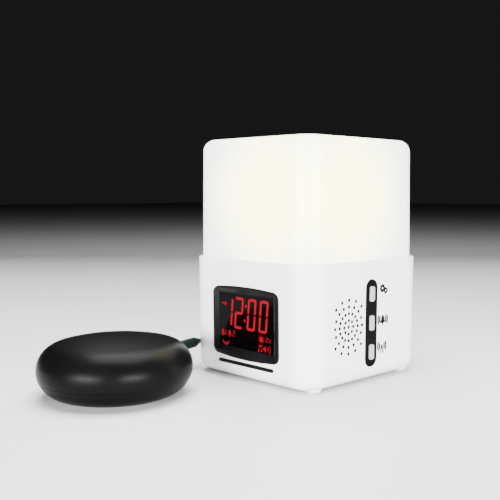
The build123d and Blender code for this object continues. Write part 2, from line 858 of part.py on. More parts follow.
# Display bezel: a glossy frame with a bevelled opening, a flange behind the wall and a pocket for the panel
panel_width = lcd_opening_width + 2 * lcd_margin
panel_height = lcd_opening_height + 2 * lcd_margin
with BuildPart() as bevel:
    with BuildSketch(front(lcd_front)):
        with Locations((0, lcd_centre_height)):
            Rectangle(lcd_opening_width, lcd_opening_height)
    with BuildSketch(front(window_proud)):
        with Locations((0, lcd_centre_height)):
            Rectangle(lcd_opening_width + 2 * lcd_bevel, lcd_opening_height + 2 * lcd_bevel)
    loft(ruled=True)
with BuildPart() as display_bezel:
    with BuildSketch(front(-housing_wall)):
        add(window_outline(0))
    extrude(amount=housing_wall + window_proud)
    fillet(display_bezel.faces().sort_by(Axis.Y)[0].edges(), window_round)
    with BuildSketch(front(-housing_wall - window_flange_thickness)):
        add(window_outline(window_flange))
        with Locations((0, snooze_level)):
            Rectangle(rim_width, snooze_height + 2 * snooze_flange + 2 * slide_gap, mode=Mode.SUBTRACT)
    extrude(amount=window_flange_thickness)
    add(bevel.part, mode=Mode.SUBTRACT)
    with BuildSketch(front(-housing_wall - window_flange_thickness)):
        with Locations((0, lcd_centre_height)):
            Rectangle(panel_width + 2 * fit_gap, panel_height + 2 * fit_gap)
    extrude(amount=lcd_front + housing_wall + window_flange_thickness, mode=Mode.SUBTRACT)
write(display_bezel, "display_bezel")

with BuildPart() as lcd_panel:
    with BuildSketch(front(lcd_front)):
        with Locations((0, lcd_centre_height)):
            Rectangle(panel_width, panel_height)
    extrude(amount=-lcd_thickness)
write(lcd_panel, "lcd_panel")

with BuildPart() as backlight:
    with BuildSketch(front(lcd_back - stack_gap)):
        with Locations((0, lcd_centre_height)):
            Rectangle(panel_width, panel_height)
    extrude(amount=-backlight_thickness)
write(backlight, "backlight")

with BuildPart() as display_board:
    with BuildSketch(front(display_board_face)):
        with Locations((0, (display_board_top + display_board_bottom) / 2)):
            Rectangle(display_board_width, display_board_top - display_board_bottom)
        with Locations((0, (display_board_top + display_tongue_bottom) / 2)):
            Rectangle(display_tongue_width, display_board_top - display_tongue_bottom)
        with Locations(*display_screw_places):
            Circle(small_shank + screw_clearance, mode=Mode.SUBTRACT)
    extrude(amount=-board_thickness)
write(display_board, "display_board")

# The board's screws go in from behind it, so their plane faces inward.
def inward(plane):
    """The same plane seen from inside the housing, with its x axis reversed."""
    return Plane(origin=plane.origin, x_dir=plane.x_dir * -1, z_dir=plane.z_dir * -1)


board_screw_length = board_thickness + board_screw_grip


def board_screws(back, places, name):
    """Screws from behind a board, given the plane of its back face as seen from outside."""
    mirrored = [(-x, y) for x, y in places]
    screws(inward(back), mirrored, small_head, small_head_height, small_shank, board_screw_length, name)


def tact_switches(board, places, plunger_top):
    """Square switch bodies with round plungers, standing on a board that faces outward."""
    with BuildPart() as switches:
        with BuildSketch(board):
            with Locations(*places):
                Rectangle(switch_body, switch_body)
        extrude(amount=plunger_top - switch_plunger_height)
        with BuildSketch(board):
            with Locations(*places):
                Circle(switch_plunger_radius)
        extrude(amount=plunger_top)
    return switches


board_screws(front(display_board_face - board_thickness), display_screw_places, "display_screws")

# Snooze bar: a thin bar through the wall with a flange behind it, and its switch on the display board
with BuildPart() as snooze_bar:
    with BuildSketch(front(snooze_flange_back)):
        with Locations((0, snooze_level)):
            Rectangle(snooze_width + 2 * snooze_flange, snooze_height + 2 * snooze_flange)
    extrude(amount=snooze_flange_thickness)
    with BuildSketch(front(snooze_flange_back + snooze_flange_thickness)):
        with Locations((0, snooze_level)):
            RectangleRounded(snooze_width, snooze_height, snooze_height / 2 - stack_gap)
    extrude(amount=stack_gap + housing_wall + snooze_proud)
write(snooze_bar, "snooze_bar")

snooze_switch = tact_switches(front(display_board_face), [(0, snooze_level)],
                              snooze_plunger_top - display_board_face)
write(snooze_switch, "snooze_switch")

# Key strip: a black inlay in the right wall, across the seam, with one hole for each key
with BuildPart() as key_strip:
    with BuildSketch(side(-strip_depth)):
        with Locations((strip_place, strip_middle)):
            RectangleRounded(strip_width, strip_top - strip_bottom, strip_radius)
        with Locations(*[(strip_place, z) for z in key_levels]):
            RectangleRounded(key_width + 2 * slide_gap, key_height + 2 * slide_gap, key_radius + slide_gap,
                             mode=Mode.SUBTRACT)
    extrude(amount=strip_depth + strip_proud)
write(key_strip, "key_strip")

key_flange_back = -housing_wall - stack_gap - key_flange_thickness
for name, z in zip(("setting_key", "alarm_key", "radio_key"), key_levels):
    with BuildPart() as key:
        with BuildSketch(side(key_flange_back + key_flange_thickness)):
            with Locations((strip_place, z)):
                RectangleRounded(key_width, key_height, key_radius)
        extrude(amount=housing_wall + stack_gap + key_proud)
        fillet(key.faces().sort_by(Axis.X)[-1].edges(), key_round)
        with BuildSketch(side(key_flange_back)):
            with Locations((strip_place, z)):
                Rectangle(key_width + 2 * slide_gap + 2 * key_flange,
                          key_height + 2 * slide_gap + 4 * key_flange)
        extrude(amount=key_flange_thickness)
        with BuildSketch(side(key_flange_back)):
            with Locations((strip_place, z)):
                Circle(key_stem_radius)
        extrude(amount=-key_stem_length)
    write(key, name)

with BuildPart() as switch_board:
    with BuildSketch(side(switch_board_face)):
        with Locations((strip_place, (switch_board_top + switch_board_bottom) / 2)):
            Rectangle(switch_board_width, switch_board_top - switch_board_bottom)
        with Locations(*[(x + stack_gap, y) for x, y in switch_screw_places]):
            Rectangle(switch_board_ear + 2 * stack_gap, switch_board_ear_height)
        with Locations(*switch_screw_places):
            Circle(small_shank + screw_clearance, mode=Mode.SUBTRACT)
    extrude(amount=-board_thickness)
write(switch_board, "switch_board")
key_switches = tact_switches(side(switch_board_face), [(strip_place, z) for z in key_levels],
                             key_plunger_top - switch_board_face)
write(key_switches, "key_switches")
board_screws(side(switch_board_face - board_thickness), switch_screw_places, "switch_board_screws")

# Speaker: gasket, rim and basket, paper cone with its dust cap, and magnet
speaker_section = section_at(side(0), speaker_place, speaker_level)
speaker_axis = Axis(speaker_section.origin, speaker_section.y_dir)
gasket_back = -housing_wall - speaker_gasket_thickness
rim_back = gasket_back - speaker_rim_thickness
basket_back = rim_back - speaker_cone_depth
speaker_inner = speaker_radius - speaker_gasket_width

with BuildPart() as speaker_gasket:
    with BuildSketch(side(gasket_back)):
        with Locations((speaker_place, speaker_level)):
            Circle(speaker_radius)
            Circle(speaker_inner, mode=Mode.SUBTRACT)
    extrude(amount=speaker_gasket_thickness)
write(speaker_gasket, "speaker_gasket")

with BuildPart() as speaker_frame:
    with BuildSketch(speaker_section):
        with BuildLine():
            Polyline((speaker_inner, gasket_back), (speaker_radius, gasket_back), (speaker_radius, rim_back),
                     (magnet_radius + speaker_basket_wall, basket_back), (speaker_voice_radius, basket_back),
                     (speaker_voice_radius, basket_back + speaker_basket_wall),
                     (magnet_radius, basket_back + speaker_basket_wall),
                     (speaker_inner, rim_back), close=True)
        make_face()
    revolve(axis=speaker_axis)
write(speaker_frame, "speaker_frame")

cone_back = rim_back - speaker_cone_depth / 2
cone_edge = speaker_inner - fit_gap
voice_inner = speaker_voice_radius - speaker_cone_wall
cap_level = cone_back + speaker_cone_depth / 4
with BuildPart() as speaker_cone:
    with BuildSketch(speaker_section):
        with BuildLine():
            Polyline((cone_edge, gasket_back), (speaker_voice_radius, cone_back),
                     (speaker_voice_radius, basket_back), (voice_inner, basket_back),
                     (voice_inner, cone_back + speaker_cone_wall), (voice_inner / 2, cap_level),
                     (0, cap_level), (0, cap_level + speaker_cone_wall),
                     (voice_inner / 2, cap_level + speaker_cone_wall),
                     (speaker_voice_radius, cone_back + 2 * speaker_cone_wall),
                     (cone_edge, gasket_back + speaker_cone_wall), close=True)
        make_face()
    revolve(axis=speaker_axis)
write(speaker_cone, "speaker_cone")

with BuildPart() as speaker_magnet:
    with BuildSketch(side(basket_back)):
        with Locations((speaker_place, speaker_level)):
            Circle(magnet_radius)
    extrude(amount=-magnet_height)
write(speaker_magnet, "speaker_magnet")

# Main board behind the rear wall, with its sockets, controls and parts
with BuildPart() as main_board:
    with BuildSketch(rear(main_board_face)):
        with Locations((0, (main_board_top + main_board_bottom) / 2)):
            Rectangle(main_board_width, main_board_top - main_board_bottom)
        with Locations(*main_screw_places):
            Circle(small_shank + screw_clearance, mode=Mode.SUBTRACT)
    extrude(amount=-board_thickness)
write(main_board, "main_board")
board_screws(rear(main_board_face - board_thickness), main_screw_places, "main_board_screws")

with BuildPart() as power_jack:
    with BuildSketch(rear(main_board_face)):
        with Locations((-power_jack_x, jack_level)):
            Rectangle(power_jack_size, power_jack_size)
    extrude(amount=main_board_depth - jack_gap)
    with BuildSketch(rear(-jack_recess)):
        with Locations((-power_jack_x, jack_level)):
            Circle(power_jack_nose)
    extrude(amount=jack_recess - housing_wall - jack_gap)
    with BuildSketch(rear(-jack_recess)):
        with Locations((-power_jack_x, jack_level)):
            Circle(power_bore)
            Circle(power_pin, mode=Mode.SUBTRACT)
    extrude(amount=-power_bore_depth, mode=Mode.SUBTRACT)
write(power_jack, "power_jack")

with BuildPart() as shaker_jack:
    with BuildSketch(rear(main_board_face)):
        with Locations((-shaker_jack_x, jack_level)):
            Rectangle(shaker_jack_size, shaker_jack_size)
    extrude(amount=main_board_depth - jack_gap)
    with BuildSketch(rear(-jack_recess)):
        with Locations((-shaker_jack_x, jack_level)):
            Circle(shaker_jack_nose)
    extrude(amount=jack_recess - housing_wall - jack_gap)
    with BuildSketch(rear(main_board_face)):
        with Locations((-shaker_jack_x, jack_level)):
            Circle(plug_pin_radius + turn_gap)
    extrude(amount=main_board_depth + housing_wall, mode=Mode.SUBTRACT)
write(shaker_jack, "shaker_jack")

mode_body_top = -housing_wall - mode_body_gap
with BuildPart() as mode_switch:
    with BuildSketch(rear(main_board_face)):
        with Locations((-mode_x, control_level)):
            Rectangle(mode_body_width, mode_body_height)
    extrude(amount=mode_body_top - main_board_face)
write(mode_switch, "mode_switch")

with BuildPart() as mode_slider:
    with BuildSketch(rear(mode_body_top + stack_gap)):
        with Locations((-mode_x, control_level)):
            Rectangle(mode_knob_width, mode_knob_height)
    extrude(amount=mode_knob_proud - mode_body_top - stack_gap)
    ridges = rear(mode_knob_proud)
    with BuildSketch(ridges):
        with Locations((-mode_x, control_level)):
            with GridLocations(mode_knob_width / 2, 0, 2, 1):
                Rectangle(mode_knob_width / 6, mode_knob_height)
    extrude(amount=-mode_knob_width / 6, mode=Mode.SUBTRACT)
write(mode_slider, "mode_slider")

with BuildPart() as volume_control:
    with BuildSketch(rear(main_board_face)):
        with Locations((-volume_x, control_level)):
            Rectangle(volume_body_size, volume_body_size)
    extrude(amount=volume_body_height)
write(volume_control, "volume_control")

with BuildPart() as volume_knob:
    with BuildSketch(rear(main_board_face + volume_body_height + stack_gap)):
        with Locations((-volume_x, control_level)):
            Circle(volume_stem_radius)
    extrude(amount=volume_knob_gap + main_board_depth + housing_wall - volume_body_height - stack_gap)
    with BuildSketch(rear(volume_knob_gap)):
        with Locations((-volume_x, control_level)):
            Circle(volume_knob_radius)
    extrude(amount=volume_knob_height)
    fillet(volume_knob.faces().sort_by(Axis.Y)[-1].edges(), volume_knob_round)
    with BuildSketch(rear(volume_knob_gap + volume_knob_height)):
        with Locations((-volume_x, control_level + volume_knob_radius / 2)):
            Rectangle(volume_mark_width, volume_knob_radius)
    extrude(amount=-volume_mark_depth, mode=Mode.SUBTRACT)
write(volume_knob, "volume_knob")

board_front = rear(main_board_face - board_thickness)
chip_places = [(-main_screw_x / 2, chip_level), (main_screw_x / 2, chip_level)]
with BuildPart() as board_chips:
    with BuildSketch(board_front):
        with Locations(chip_places[0]):
            Rectangle(chip_size, chip_size)
        with Locations(chip_places[1]):
            Rectangle(small_chip_length, small_chip_width)
        with Locations((main_screw_x / 2, chip_level - 2 * small_chip_width)):
            Rectangle(small_chip_length, small_chip_width)
    extrude(amount=-chip_height)
write(board_chips, "board_chips")
with BuildPart() as capacitors:
    with BuildSketch(board_front):
        with Locations((0, main_board_top - 2 * capacitor_radius)):
            with GridLocations(capacitor_pitch, capacitor_pitch, 2, 1):
                Circle(capacitor_radius)
    extrude(amount=-capacitor_height)
write(capacitors, "capacitors")

# Battery box in the floor of the rear half, with three cells side by side
cell_rows = [battery_middle + cell_pitch * i for i in (-1, 0, 1)]
with BuildPart() as battery_box:
    with BuildSketch(level(floor_top)):
        with Locations((0, battery_middle)):
            Rectangle(bay_width + 2 * battery_wall, battery_rear - battery_front)
            Rectangle(bay_width, bay_depth, mode=Mode.SUBTRACT)
    extrude(amount=bay_top - floor_top)
    with BuildSketch(level(bay_top)):
        with Locations((0, battery_middle)):
            Rectangle(bay_width + 2 * battery_wall, battery_rear - battery_front)
    extrude(amount=battery_top_wall)
    with BuildSketch(level(floor_top)):
        with Locations((-door_tab_x, battery_front), (door_tab_x, battery_front)):
            Rectangle(door_tab_width + 4 * door_gap, 4 * battery_wall)
    extrude(amount=door_tab_thickness + door_tab_reach, mode=Mode.SUBTRACT)
write(battery_box, "battery_box")

cell_turns = (1, -1, 1)
cell_start = -cell_length / 2
with BuildPart() as batteries:
    for row, turn in zip(cell_rows, cell_turns):
        nub_end = Plane(origin=(turn * cell_start, row, cell_level), x_dir=(0, 1, 0), z_dir=(turn, 0, 0))
        with BuildSketch(nub_end):
            Circle(cell_radius)
        extrude(amount=cell_length)
        with BuildSketch(nub_end.offset(cell_length)):
            Circle(cell_nub_radius)
        extrude(amount=cell_nub_length)
write(batteries, "batteries")

bay_end = bay_width / 2
with BuildPart() as battery_contacts:
    for row, turn in zip(cell_rows, cell_turns):
        for end in (-1, 1):
            plate = Plane(origin=(end * bay_end, row, cell_level), x_dir=(0, 1, 0), z_dir=(-end, 0, 0))
            with BuildSketch(plate):
                Rectangle(contact_width, contact_width)
            extrude(amount=contact_plate)
            nub = cell_nub_length if end == turn else 0
            room = bay_end - cell_length / 2 - nub - contact_plate - stack_gap
            with BuildSketch(plate.offset(contact_plate)):
                Circle(contact_spring_radius if nub == 0 else cell_nub_radius)
            extrude(amount=room)
write(battery_contacts, "battery_contacts")

# Battery door: a plate flush with the floor, with two tabs hooked over the floor's edge
with BuildPart() as battery_door:
    with BuildSketch(level(foot_height)):
        with Locations((0, door_middle)):
            Rectangle(door_width, door_end - door_start)
    extrude(amount=door_thickness)
    tab_bottom = floor_top + slide_gap
    with BuildSketch(level(foot_height)):
        with Locations((0, door_start + door_tab_reach / 2)):
            with GridLocations(2 * door_tab_x, door_tab_reach, 2, 1):
                Rectangle(door_tab_width, door_tab_reach)
    extrude(amount=tab_bottom + door_tab_thickness - foot_height)
    with BuildSketch(level(tab_bottom)):
        with Locations((-door_tab_x, door_start), (door_tab_x, door_start)):
            Rectangle(door_tab_width, 2 * door_tab_reach)
    extrude(amount=door_tab_thickness)
    with BuildSketch(level(foot_height)):
        with Locations((0, door_end - door_grip_length)):
            SlotOverall(door_grip_width, door_grip_length)
    extrude(amount=door_grip_depth, mode=Mode.SUBTRACT)
write(battery_door, "battery_door")


# Pad: a round pebble of two shells. Its profile is a flat base, a round belly, a shoulder and a wide crown.
def pebble(inset):
    """The pad's body of revolution, its surface moved in by inset."""
    across = pad_radius - pad_shoulder
    drop = pad_belly - pad_height
    crown = (pad_shoulder ** 2 - across ** 2 - drop ** 2) / (2 * (drop + pad_shoulder))
    crown_centre = pad_height - crown
    reach = crown - pad_shoulder
    toward = (across / reach, (pad_belly - crown_centre) / reach)
    join = (toward[0] * (crown - inset), crown_centre + toward[1] * (crown - inset))
    half_turn = atan2(toward[0], toward[1]) / 2
    crown_mid = (sin(half_turn) * (crown - inset), crown_centre + cos(half_turn) * (crown - inset))
    shoulder_turn = (atan2(toward[0], toward[1]) + pi / 2) / 2
    shoulder = pad_shoulder - inset
    shoulder_mid = (across + sin(shoulder_turn) * shoulder, pad_belly + cos(shoulder_turn) * shoulder)
    under = pad_belly - inset
    foot = pad_radius - pad_belly
    side_point = (pad_radius - inset, pad_belly)
    with BuildPart() as body:
        with BuildSketch(section_at(pad(0), 0, 0)):
            with BuildLine():
                Line((0, inset), (foot, inset))
                ThreePointArc((foot, inset), (foot + under * sin(pi / 4), pad_belly - under * cos(pi / 4)),
                              side_point)
                ThreePointArc(side_point, shoulder_mid, join)
                ThreePointArc(join, crown_mid, (0, pad_height - inset))
                Line((0, pad_height - inset), (0, inset))
            make_face()
        revolve(axis=Axis((pad_x, pad_y, 0), (0, 0, 1)))
    return body.part


pad_outside = pebble(0)
pad_inside = pebble(pad_wall)
post_places = [(pad_screw_radius * cos(a), pad_screw_radius * sin(a)) for a in (0, 2 * pi / 3, 4 * pi / 3)]
motor_level = pad_belly
with BuildPart() as pad_top_shell:
    add(pad_outside)
    add(pad_inside, mode=Mode.SUBTRACT)
    split(bisect_by=pad(pad_seam + seam_gap / 2), keep=Keep.TOP)
    with BuildSketch(pad(pad_seam + seam_gap / 2)):
        with Locations(*post_places):
            Circle(pad_post_radius)
    extrude(amount=pad_post_top - pad_seam)
    with BuildSketch(pad(pad_seam)):
        with Locations(*post_places):
            Circle(small_shank + screw_clearance)
    extrude(amount=pad_screw_length, mode=Mode.SUBTRACT)
    with BuildSketch(pad_axis(pad_radius - 2 * pad_wall)):
        with Locations((0, boot_level)):
            Circle(boot_neck_radius + fit_gap)
    extrude(amount=4 * pad_wall, mode=Mode.SUBTRACT)
write(pad_top_shell, "pad_top_shell")

with BuildPart() as pad_base_shell:
    add(pad_outside)
    add(pad_inside, mode=Mode.SUBTRACT)
    split(bisect_by=pad(pad_seam - seam_gap / 2), keep=Keep.BOTTOM)
    # Columns for the shell screws
    with BuildSketch(pad(pad_wall - boss_embed)):
        with Locations(*post_places):
            Circle(pad_post_radius)
    extrude(amount=pad_seam - seam_gap / 2 - pad_wall + boss_embed)
    # Cradle ribs under the motor, and bosses for the clamp's screws
    for place in cradle_places:
        with BuildSketch(pad_axis(place - cradle_thickness / 2)):
            with Locations((0, (motor_level + pad_wall - boss_embed) / 2)):
                Rectangle(cradle_width, motor_level - pad_wall + boss_embed)
            with Locations((0, motor_level)):
                Circle(motor_radius + cradle_gap, mode=Mode.SUBTRACT)
        extrude(amount=cradle_thickness)
    with BuildSketch(pad(pad_wall - boss_embed)):
        with Locations((0, clamp_screw_place), (0, -clamp_screw_place)):
            Circle(clamp_boss_radius)
    extrude(amount=motor_level - pad_wall + boss_embed)
    with BuildSketch(pad(motor_level)):
        with Locations((0, clamp_screw_place), (0, -clamp_screw_place)):
            Circle(small_shank + screw_clearance)
    extrude(amount=-clamp_screw_length, mode=Mode.SUBTRACT)
    with BuildSketch(pad(0)):
        with Locations(*post_places):
            Circle(small_shank + head_clearance)
    extrude(amount=pad_seam, mode=Mode.SUBTRACT)
    with BuildSketch(pad(0)):
        with Locations(*post_places):
            Circle(small_head + head_clearance)
    extrude(amount=pad_head_depth, mode=Mode.SUBTRACT)
write(pad_base_shell, "pad_base_shell")

pad_head_plane = inward(pad(pad_head_depth))
screws(pad_head_plane, [(-x, y) for x, y in post_places], small_head, small_head_height, small_shank,
       pad_seam - pad_head_depth + pad_screw_length - overrun, "pad_screws")

motor_length = motor_end - motor_start
with BuildPart() as motor_case:
    with BuildSketch(pad_axis(motor_start)):
        with Locations((0, motor_level)):
            Circle(motor_radius)
    extrude(amount=motor_length)
    with BuildSketch(pad_axis(motor_start)):
        with Locations((0, motor_level)):
            Circle(motor_nose_radius)
    extrude(amount=-motor_nose_length)
    with BuildSketch(pad_axis(motor_start + shaft_inside + turn_gap)):
        with Locations((0, motor_level)):
            Circle(shaft_radius + turn_gap)
    extrude(amount=-shaft_inside - turn_gap - motor_nose_length, mode=Mode.SUBTRACT)
write(motor_case, "motor_case")

shaft_end = motor_start - shaft_outside
with BuildPart() as motor_shaft:
    with BuildSketch(pad_axis(shaft_end)):
        with Locations((0, motor_level)):
            Circle(shaft_radius)
    extrude(amount=shaft_inside + shaft_outside)
write(motor_shaft, "motor_shaft")

weight_end = motor_start - motor_nose_length - weight_gap
with BuildPart() as eccentric_weight:
    with BuildSketch(pad_axis(weight_end)):
        with Locations((0, motor_level)):
            Circle(weight_radius)
        with Locations((0, motor_level + weight_radius)):
            Rectangle(2 * weight_radius, 2 * weight_radius, mode=Mode.SUBTRACT)
        with Locations((0, motor_level)):
            Circle(weight_hub)
            Circle(shaft_radius + turn_gap, mode=Mode.SUBTRACT)
    extrude(amount=-weight_thickness)
write(eccentric_weight, "eccentric_weight")

with BuildPart() as motor_clamp:
    with BuildSketch(pad_axis(-clamp_width / 2)):
        with Locations((0, motor_level)):
            Circle(motor_radius + cradle_gap + clamp_wall)
        with Locations((0, motor_level + clamp_wall / 2)):
            Rectangle(2 * clamp_ear_reach, clamp_wall)
        with Locations((0, motor_level)):
            Circle(motor_radius + cradle_gap, mode=Mode.SUBTRACT)
        with Locations((0, motor_level - clamp_ear_reach)):
            Rectangle(2 * clamp_ear_reach, 2 * clamp_ear_reach, mode=Mode.SUBTRACT)
    extrude(amount=clamp_width)
    with BuildSketch(pad(motor_level)):
        with Locations((0, clamp_screw_place), (0, -clamp_screw_place)):
            Circle(small_shank + screw_clearance)
    extrude(amount=clamp_wall, mode=Mode.SUBTRACT)
write(motor_clamp, "motor_clamp")
screws(pad(motor_level + clamp_wall), [(0, clamp_screw_place), (0, -clamp_screw_place)], small_head,
       small_head_height, small_shank, clamp_wall + clamp_screw_length - overrun, "clamp_screws")

# Strain relief: an inner flange, a neck through the shell, and a grooved body that tapers onto the cord
boot_end = pad_radius + boot_length
boot_shoulder = pad_radius + boot_straight
boot_section = Plane(origin=pad_axis(0).origin + Vector(0, 0, boot_level), x_dir=(0, 0, 1),
                     z_dir=pad_axis(0).x_dir)
boot_axis = Axis(boot_section.origin, boot_section.y_dir)
flange_rise = boot_level + boot_flange_radius - pad_belly
flange_reach = sqrt((pad_shoulder - pad_wall) ** 2 - flange_rise ** 2)
flange_face = pad_radius - pad_shoulder + flange_reach - 2 * fit_gap
with BuildPart() as pad_strain_relief:
    with BuildSketch(boot_section):
        with BuildLine():
            Polyline((0, pad_radius - pad_wall), (boot_radius, pad_radius - pad_wall),
                     (boot_radius, boot_shoulder), (boot_tip_radius, boot_end), (0, boot_end), close=True)
        make_face()
        for i in range(boot_grooves):
            with Locations((boot_radius, boot_shoulder - boot_groove_pitch * (i + 1))):
                Rectangle(2 * boot_groove_depth, boot_groove_width, mode=Mode.SUBTRACT)
    revolve(axis=boot_axis)
    add(pebble(-2 * fit_gap), mode=Mode.SUBTRACT)
    with BuildSketch(boot_section):
        with BuildLine():
            Polyline((0, flange_face - boot_flange_thickness),
                     (boot_flange_radius, flange_face - boot_flange_thickness),
                     (boot_flange_radius, flange_face), (boot_neck_radius, flange_face),
                     (boot_neck_radius, pad_radius + boot_groove_pitch), (0, pad_radius + boot_groove_pitch),
                     close=True)
        make_face()
    revolve(axis=boot_axis)
write(pad_strain_relief, "pad_strain_relief")


# Cord: straight runs joined by tangent arcs, each arc as large as its two runs allow.
def cord_radii(points):
    """Arc radius at each inner point: 0.45 of the shorter run, over the tangent of half the turn."""
    arc_share = 0.45
    radii = []
    for before, here, after in zip(points, points[1:], points[2:]):
        run_in = Vector(*here) - Vector(*before)
        run_out = Vector(*after) - Vector(*here)
        turn = radians(run_in.get_angle(run_out))
        radii.append(arc_share * min(run_in.length, run_out.length) / tan(turn / 2))
    return radii


def cord_tube(points, name):
    """Cord along a route, printed with its runs, its radii and its volume against section times length."""
    radii = cord_radii(points)
    start = Vector(*points[0])
    with BuildPart() as tube:
        with BuildLine() as path:
            FilletPolyline(*points, radius=radii)
        with BuildSketch(Plane(origin=start, z_dir=Vector(*points[1]) - start)):
            Circle(cord_radius)
        sweep(path=path.wire())
    runs = [round(dist(a, b), 1) for a, b in zip(points, points[1:])]
    length = path.wire().length
    section = pi * cord_radius ** 2
    print(name, "runs", runs, "radii", [round(r, 1) for r in radii])
    print(name, "length", round(length, 1), "volume over section times length",
          round(tube.part.volume / (section * length), 4))
    write(tube, name)
    return length


# Coil: four layers of half turns, spiralling in, out, in and out, and climbing where the spiral reverses.
coil_pitch = 2 * cord_radius + coil_gap
coil_inner = coil_middle_radius - coil_pitch * coil_steps / 4
coil_level = tie_thickness + tie_gap + cord_radius
outward_steps = list(range(1, coil_steps + 1))
inward_steps = outward_steps[::-1]
coil_out = [(0, 1)] + [(k, 0) for k in outward_steps[:-1]]
coil_turns = ([(k, 0) for k in inward_steps] + coil_out + [(coil_steps, 1)]
              + [(k, 0) for k in inward_steps[1:]] + coil_out)


def coil_places():
    """End point and layer height after each half turn, beginning at the south side, heading east."""
    x = 0.0
    y = -(coil_inner + coil_steps * coil_pitch / 2)
    z = coil_level
    heading = 1
    places = [(x, y, z)]
    for step, climb in coil_turns:
        radius = coil_inner + step * coil_pitch / 2
        y += 2 * radius * heading
        z += climb * coil_pitch
        heading = -heading
        places.append((x, y, z))
    return places


coil_spots = [Vector(coil_x + x, coil_y + y, z) for x, y, z in coil_places()]
stub = 2 * cord_radius
coil_start = coil_spots[0] - Vector(stub, 0, 0)
coil_end = coil_spots[-1] + Vector(stub, 0, 0)
with BuildPart() as cord_coil:
    with BuildLine() as coil_path:
        Line(coil_start, coil_spots[0])
        heading = 1
        for here, there in zip(coil_spots, coil_spots[1:]):
            centre = (here + there) / 2
            across = (there - here).length / 2
            middle = centre + Vector(heading * across, 0, 0)
            if here.Z == there.Z:
                ThreePointArc(here, middle, there)
            else:
                TangentArc(here, middle, tangent=(heading, 0, 0))
                TangentArc(middle, there, tangent=there - here)
            heading = -heading
        Line(coil_spots[-1], coil_end)
    with BuildSketch(Plane(origin=coil_start, z_dir=(1, 0, 0))):
        Circle(cord_radius)
    sweep(path=coil_path.wire())
coil_length = coil_path.wire().length
coil_section = pi * cord_radius ** 2
print("cord_coil turns", len(coil_turns) / 2, "length", round(coil_length, 1))
print("cord_coil volume over section times length",
      round(cord_coil.part.volume / (coil_section * coil_length), 4))
write(cord_coil, "cord_coil")

samples = 900
coil_wire = coil_path.wire()
spots = [coil_wire.position_at(i / samples) for i in range(samples + 1)]
spacing = coil_length / samples
apart = int(coil_inner * pi / spacing)
closest = min((spots[i] - spots[j]).length for i in range(samples) for j in range(i + apart, samples + 1))
print("cord_coil least gap to itself", round(closest - 2 * cord_radius, 3))

# Tie: a closed band round the coil's north side
tie_inner = coil_inner - coil_pitch - cord_radius - tie_gap
tie_outer = coil_inner + (coil_steps + 1) * coil_pitch / 2 + cord_radius + tie_gap
tie_top = coil_level + 3 * coil_pitch + cord_radius + tie_gap
tie_plane = Plane(origin=(coil_x - tie_width / 2, coil_y, 0), x_dir=(0, 1, 0), z_dir=(1, 0, 0))
with BuildPart() as cord_tie:
    with BuildSketch(tie_plane):
        with Locations(((tie_inner + tie_outer) / 2, (tie_thickness + tie_top) / 2)):
            RectangleRounded(tie_outer - tie_inner + 2 * tie_thickness, tie_top + tie_thickness, tie_round)
            RectangleRounded(tie_outer - tie_inner, tie_top - tie_thickness, tie_round - tie_thickness,
                             mode=Mode.SUBTRACT)
    extrude(amount=tie_width)
write(cord_tie, "cord_tie")

# Plug: a straight pin into the jack, a round head and an arm along -X with its own relief
pin_section = section_at(rear(plug_face_gap), -shaker_jack_x, jack_level)
plug_level = pin_section.origin.Z
tip_start = -plug_pin_length - plug_tip_length / 4
tip_end = -plug_pin_length - plug_tip_length
with BuildPart() as shaker_plug:
    with BuildSketch(rear(plug_face_gap)):
        with Locations((-shaker_jack_x, jack_level)):
            Circle(plug_body_radius)
    extrude(amount=plug_head_end - pin_section.origin.Y)
    fillet(shaker_plug.faces().sort_by(Axis.Y)[-1].edges(), plug_round)
    with BuildSketch(Plane(origin=(shaker_jack_x, plug_arm_level, plug_level), z_dir=(-1, 0, 0))):
        Circle(plug_arm_radius)
    extrude(amount=plug_arm_length)
    with BuildSketch(pin_section):
        with BuildLine():
            Polyline((0, plug_face_gap), (plug_pin_radius, plug_face_gap),
                     (plug_pin_radius, -plug_pin_length), (plug_neck_radius, -plug_pin_length),
                     (plug_neck_radius, tip_start), (plug_pin_radius, tip_start),
                     (plug_neck_radius / 2, tip_end), (0, tip_end), close=True)
        make_face()
    revolve(axis=Axis(pin_section.origin, pin_section.y_dir))
write(shaker_plug, "shaker_plug")

relief_face = shaker_jack_x - plug_arm_length
with BuildPart() as plug_relief:
    relief_plane = Plane(origin=(relief_face, plug_arm_level, plug_level), z_dir=(-1, 0, 0))
    with BuildSketch(relief_plane):
        Circle(relief_start_radius)
    with BuildSketch(relief_plane.offset(relief_length)):
        Circle(relief_tip_radius)
    loft()
write(plug_relief, "plug_relief")

boot_tip = boot_section.origin + boot_section.y_dir * boot_end
boot_leave = boot_tip + boot_section.y_dir * boot_run
relief_tip = Vector(relief_face - relief_length, plug_arm_level, plug_level)
route_points = [(-ground_half_width - out, share * ground_half_width, height)
                for out, share, height in side_route]
side_points = [boot_tip, boot_leave] + route_points + [coil_start - Vector(coil_run, 0, 0), coil_start]
plug_points = [coil_end, coil_end + Vector(coil_out_run, 0, 0), relief_tip - Vector(relief_run, 0, 0),
               relief_tip]
side_length = cord_tube([tuple(p) for p in side_points], "cord_from_pad")
plug_length = cord_tube([tuple(p) for p in plug_points], "cord_to_plug")
print("cord length", round(side_length + coil_length + plug_length, 1))
for name, spot in (("boot tip", boot_tip), ("boot leave", boot_leave), ("coil start", coil_start),
                   ("coil end", coil_end), ("relief tip", relief_tip)):
    print(name, [round(value, 3) for value in spot])
print("side route", [tuple(round(value, 3) for value in spot) for spot in route_points])
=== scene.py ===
from math import atan2, cos, pi, radians, sin, sqrt, tan

import bmesh
import bpy
from mathutils import Matrix, Vector


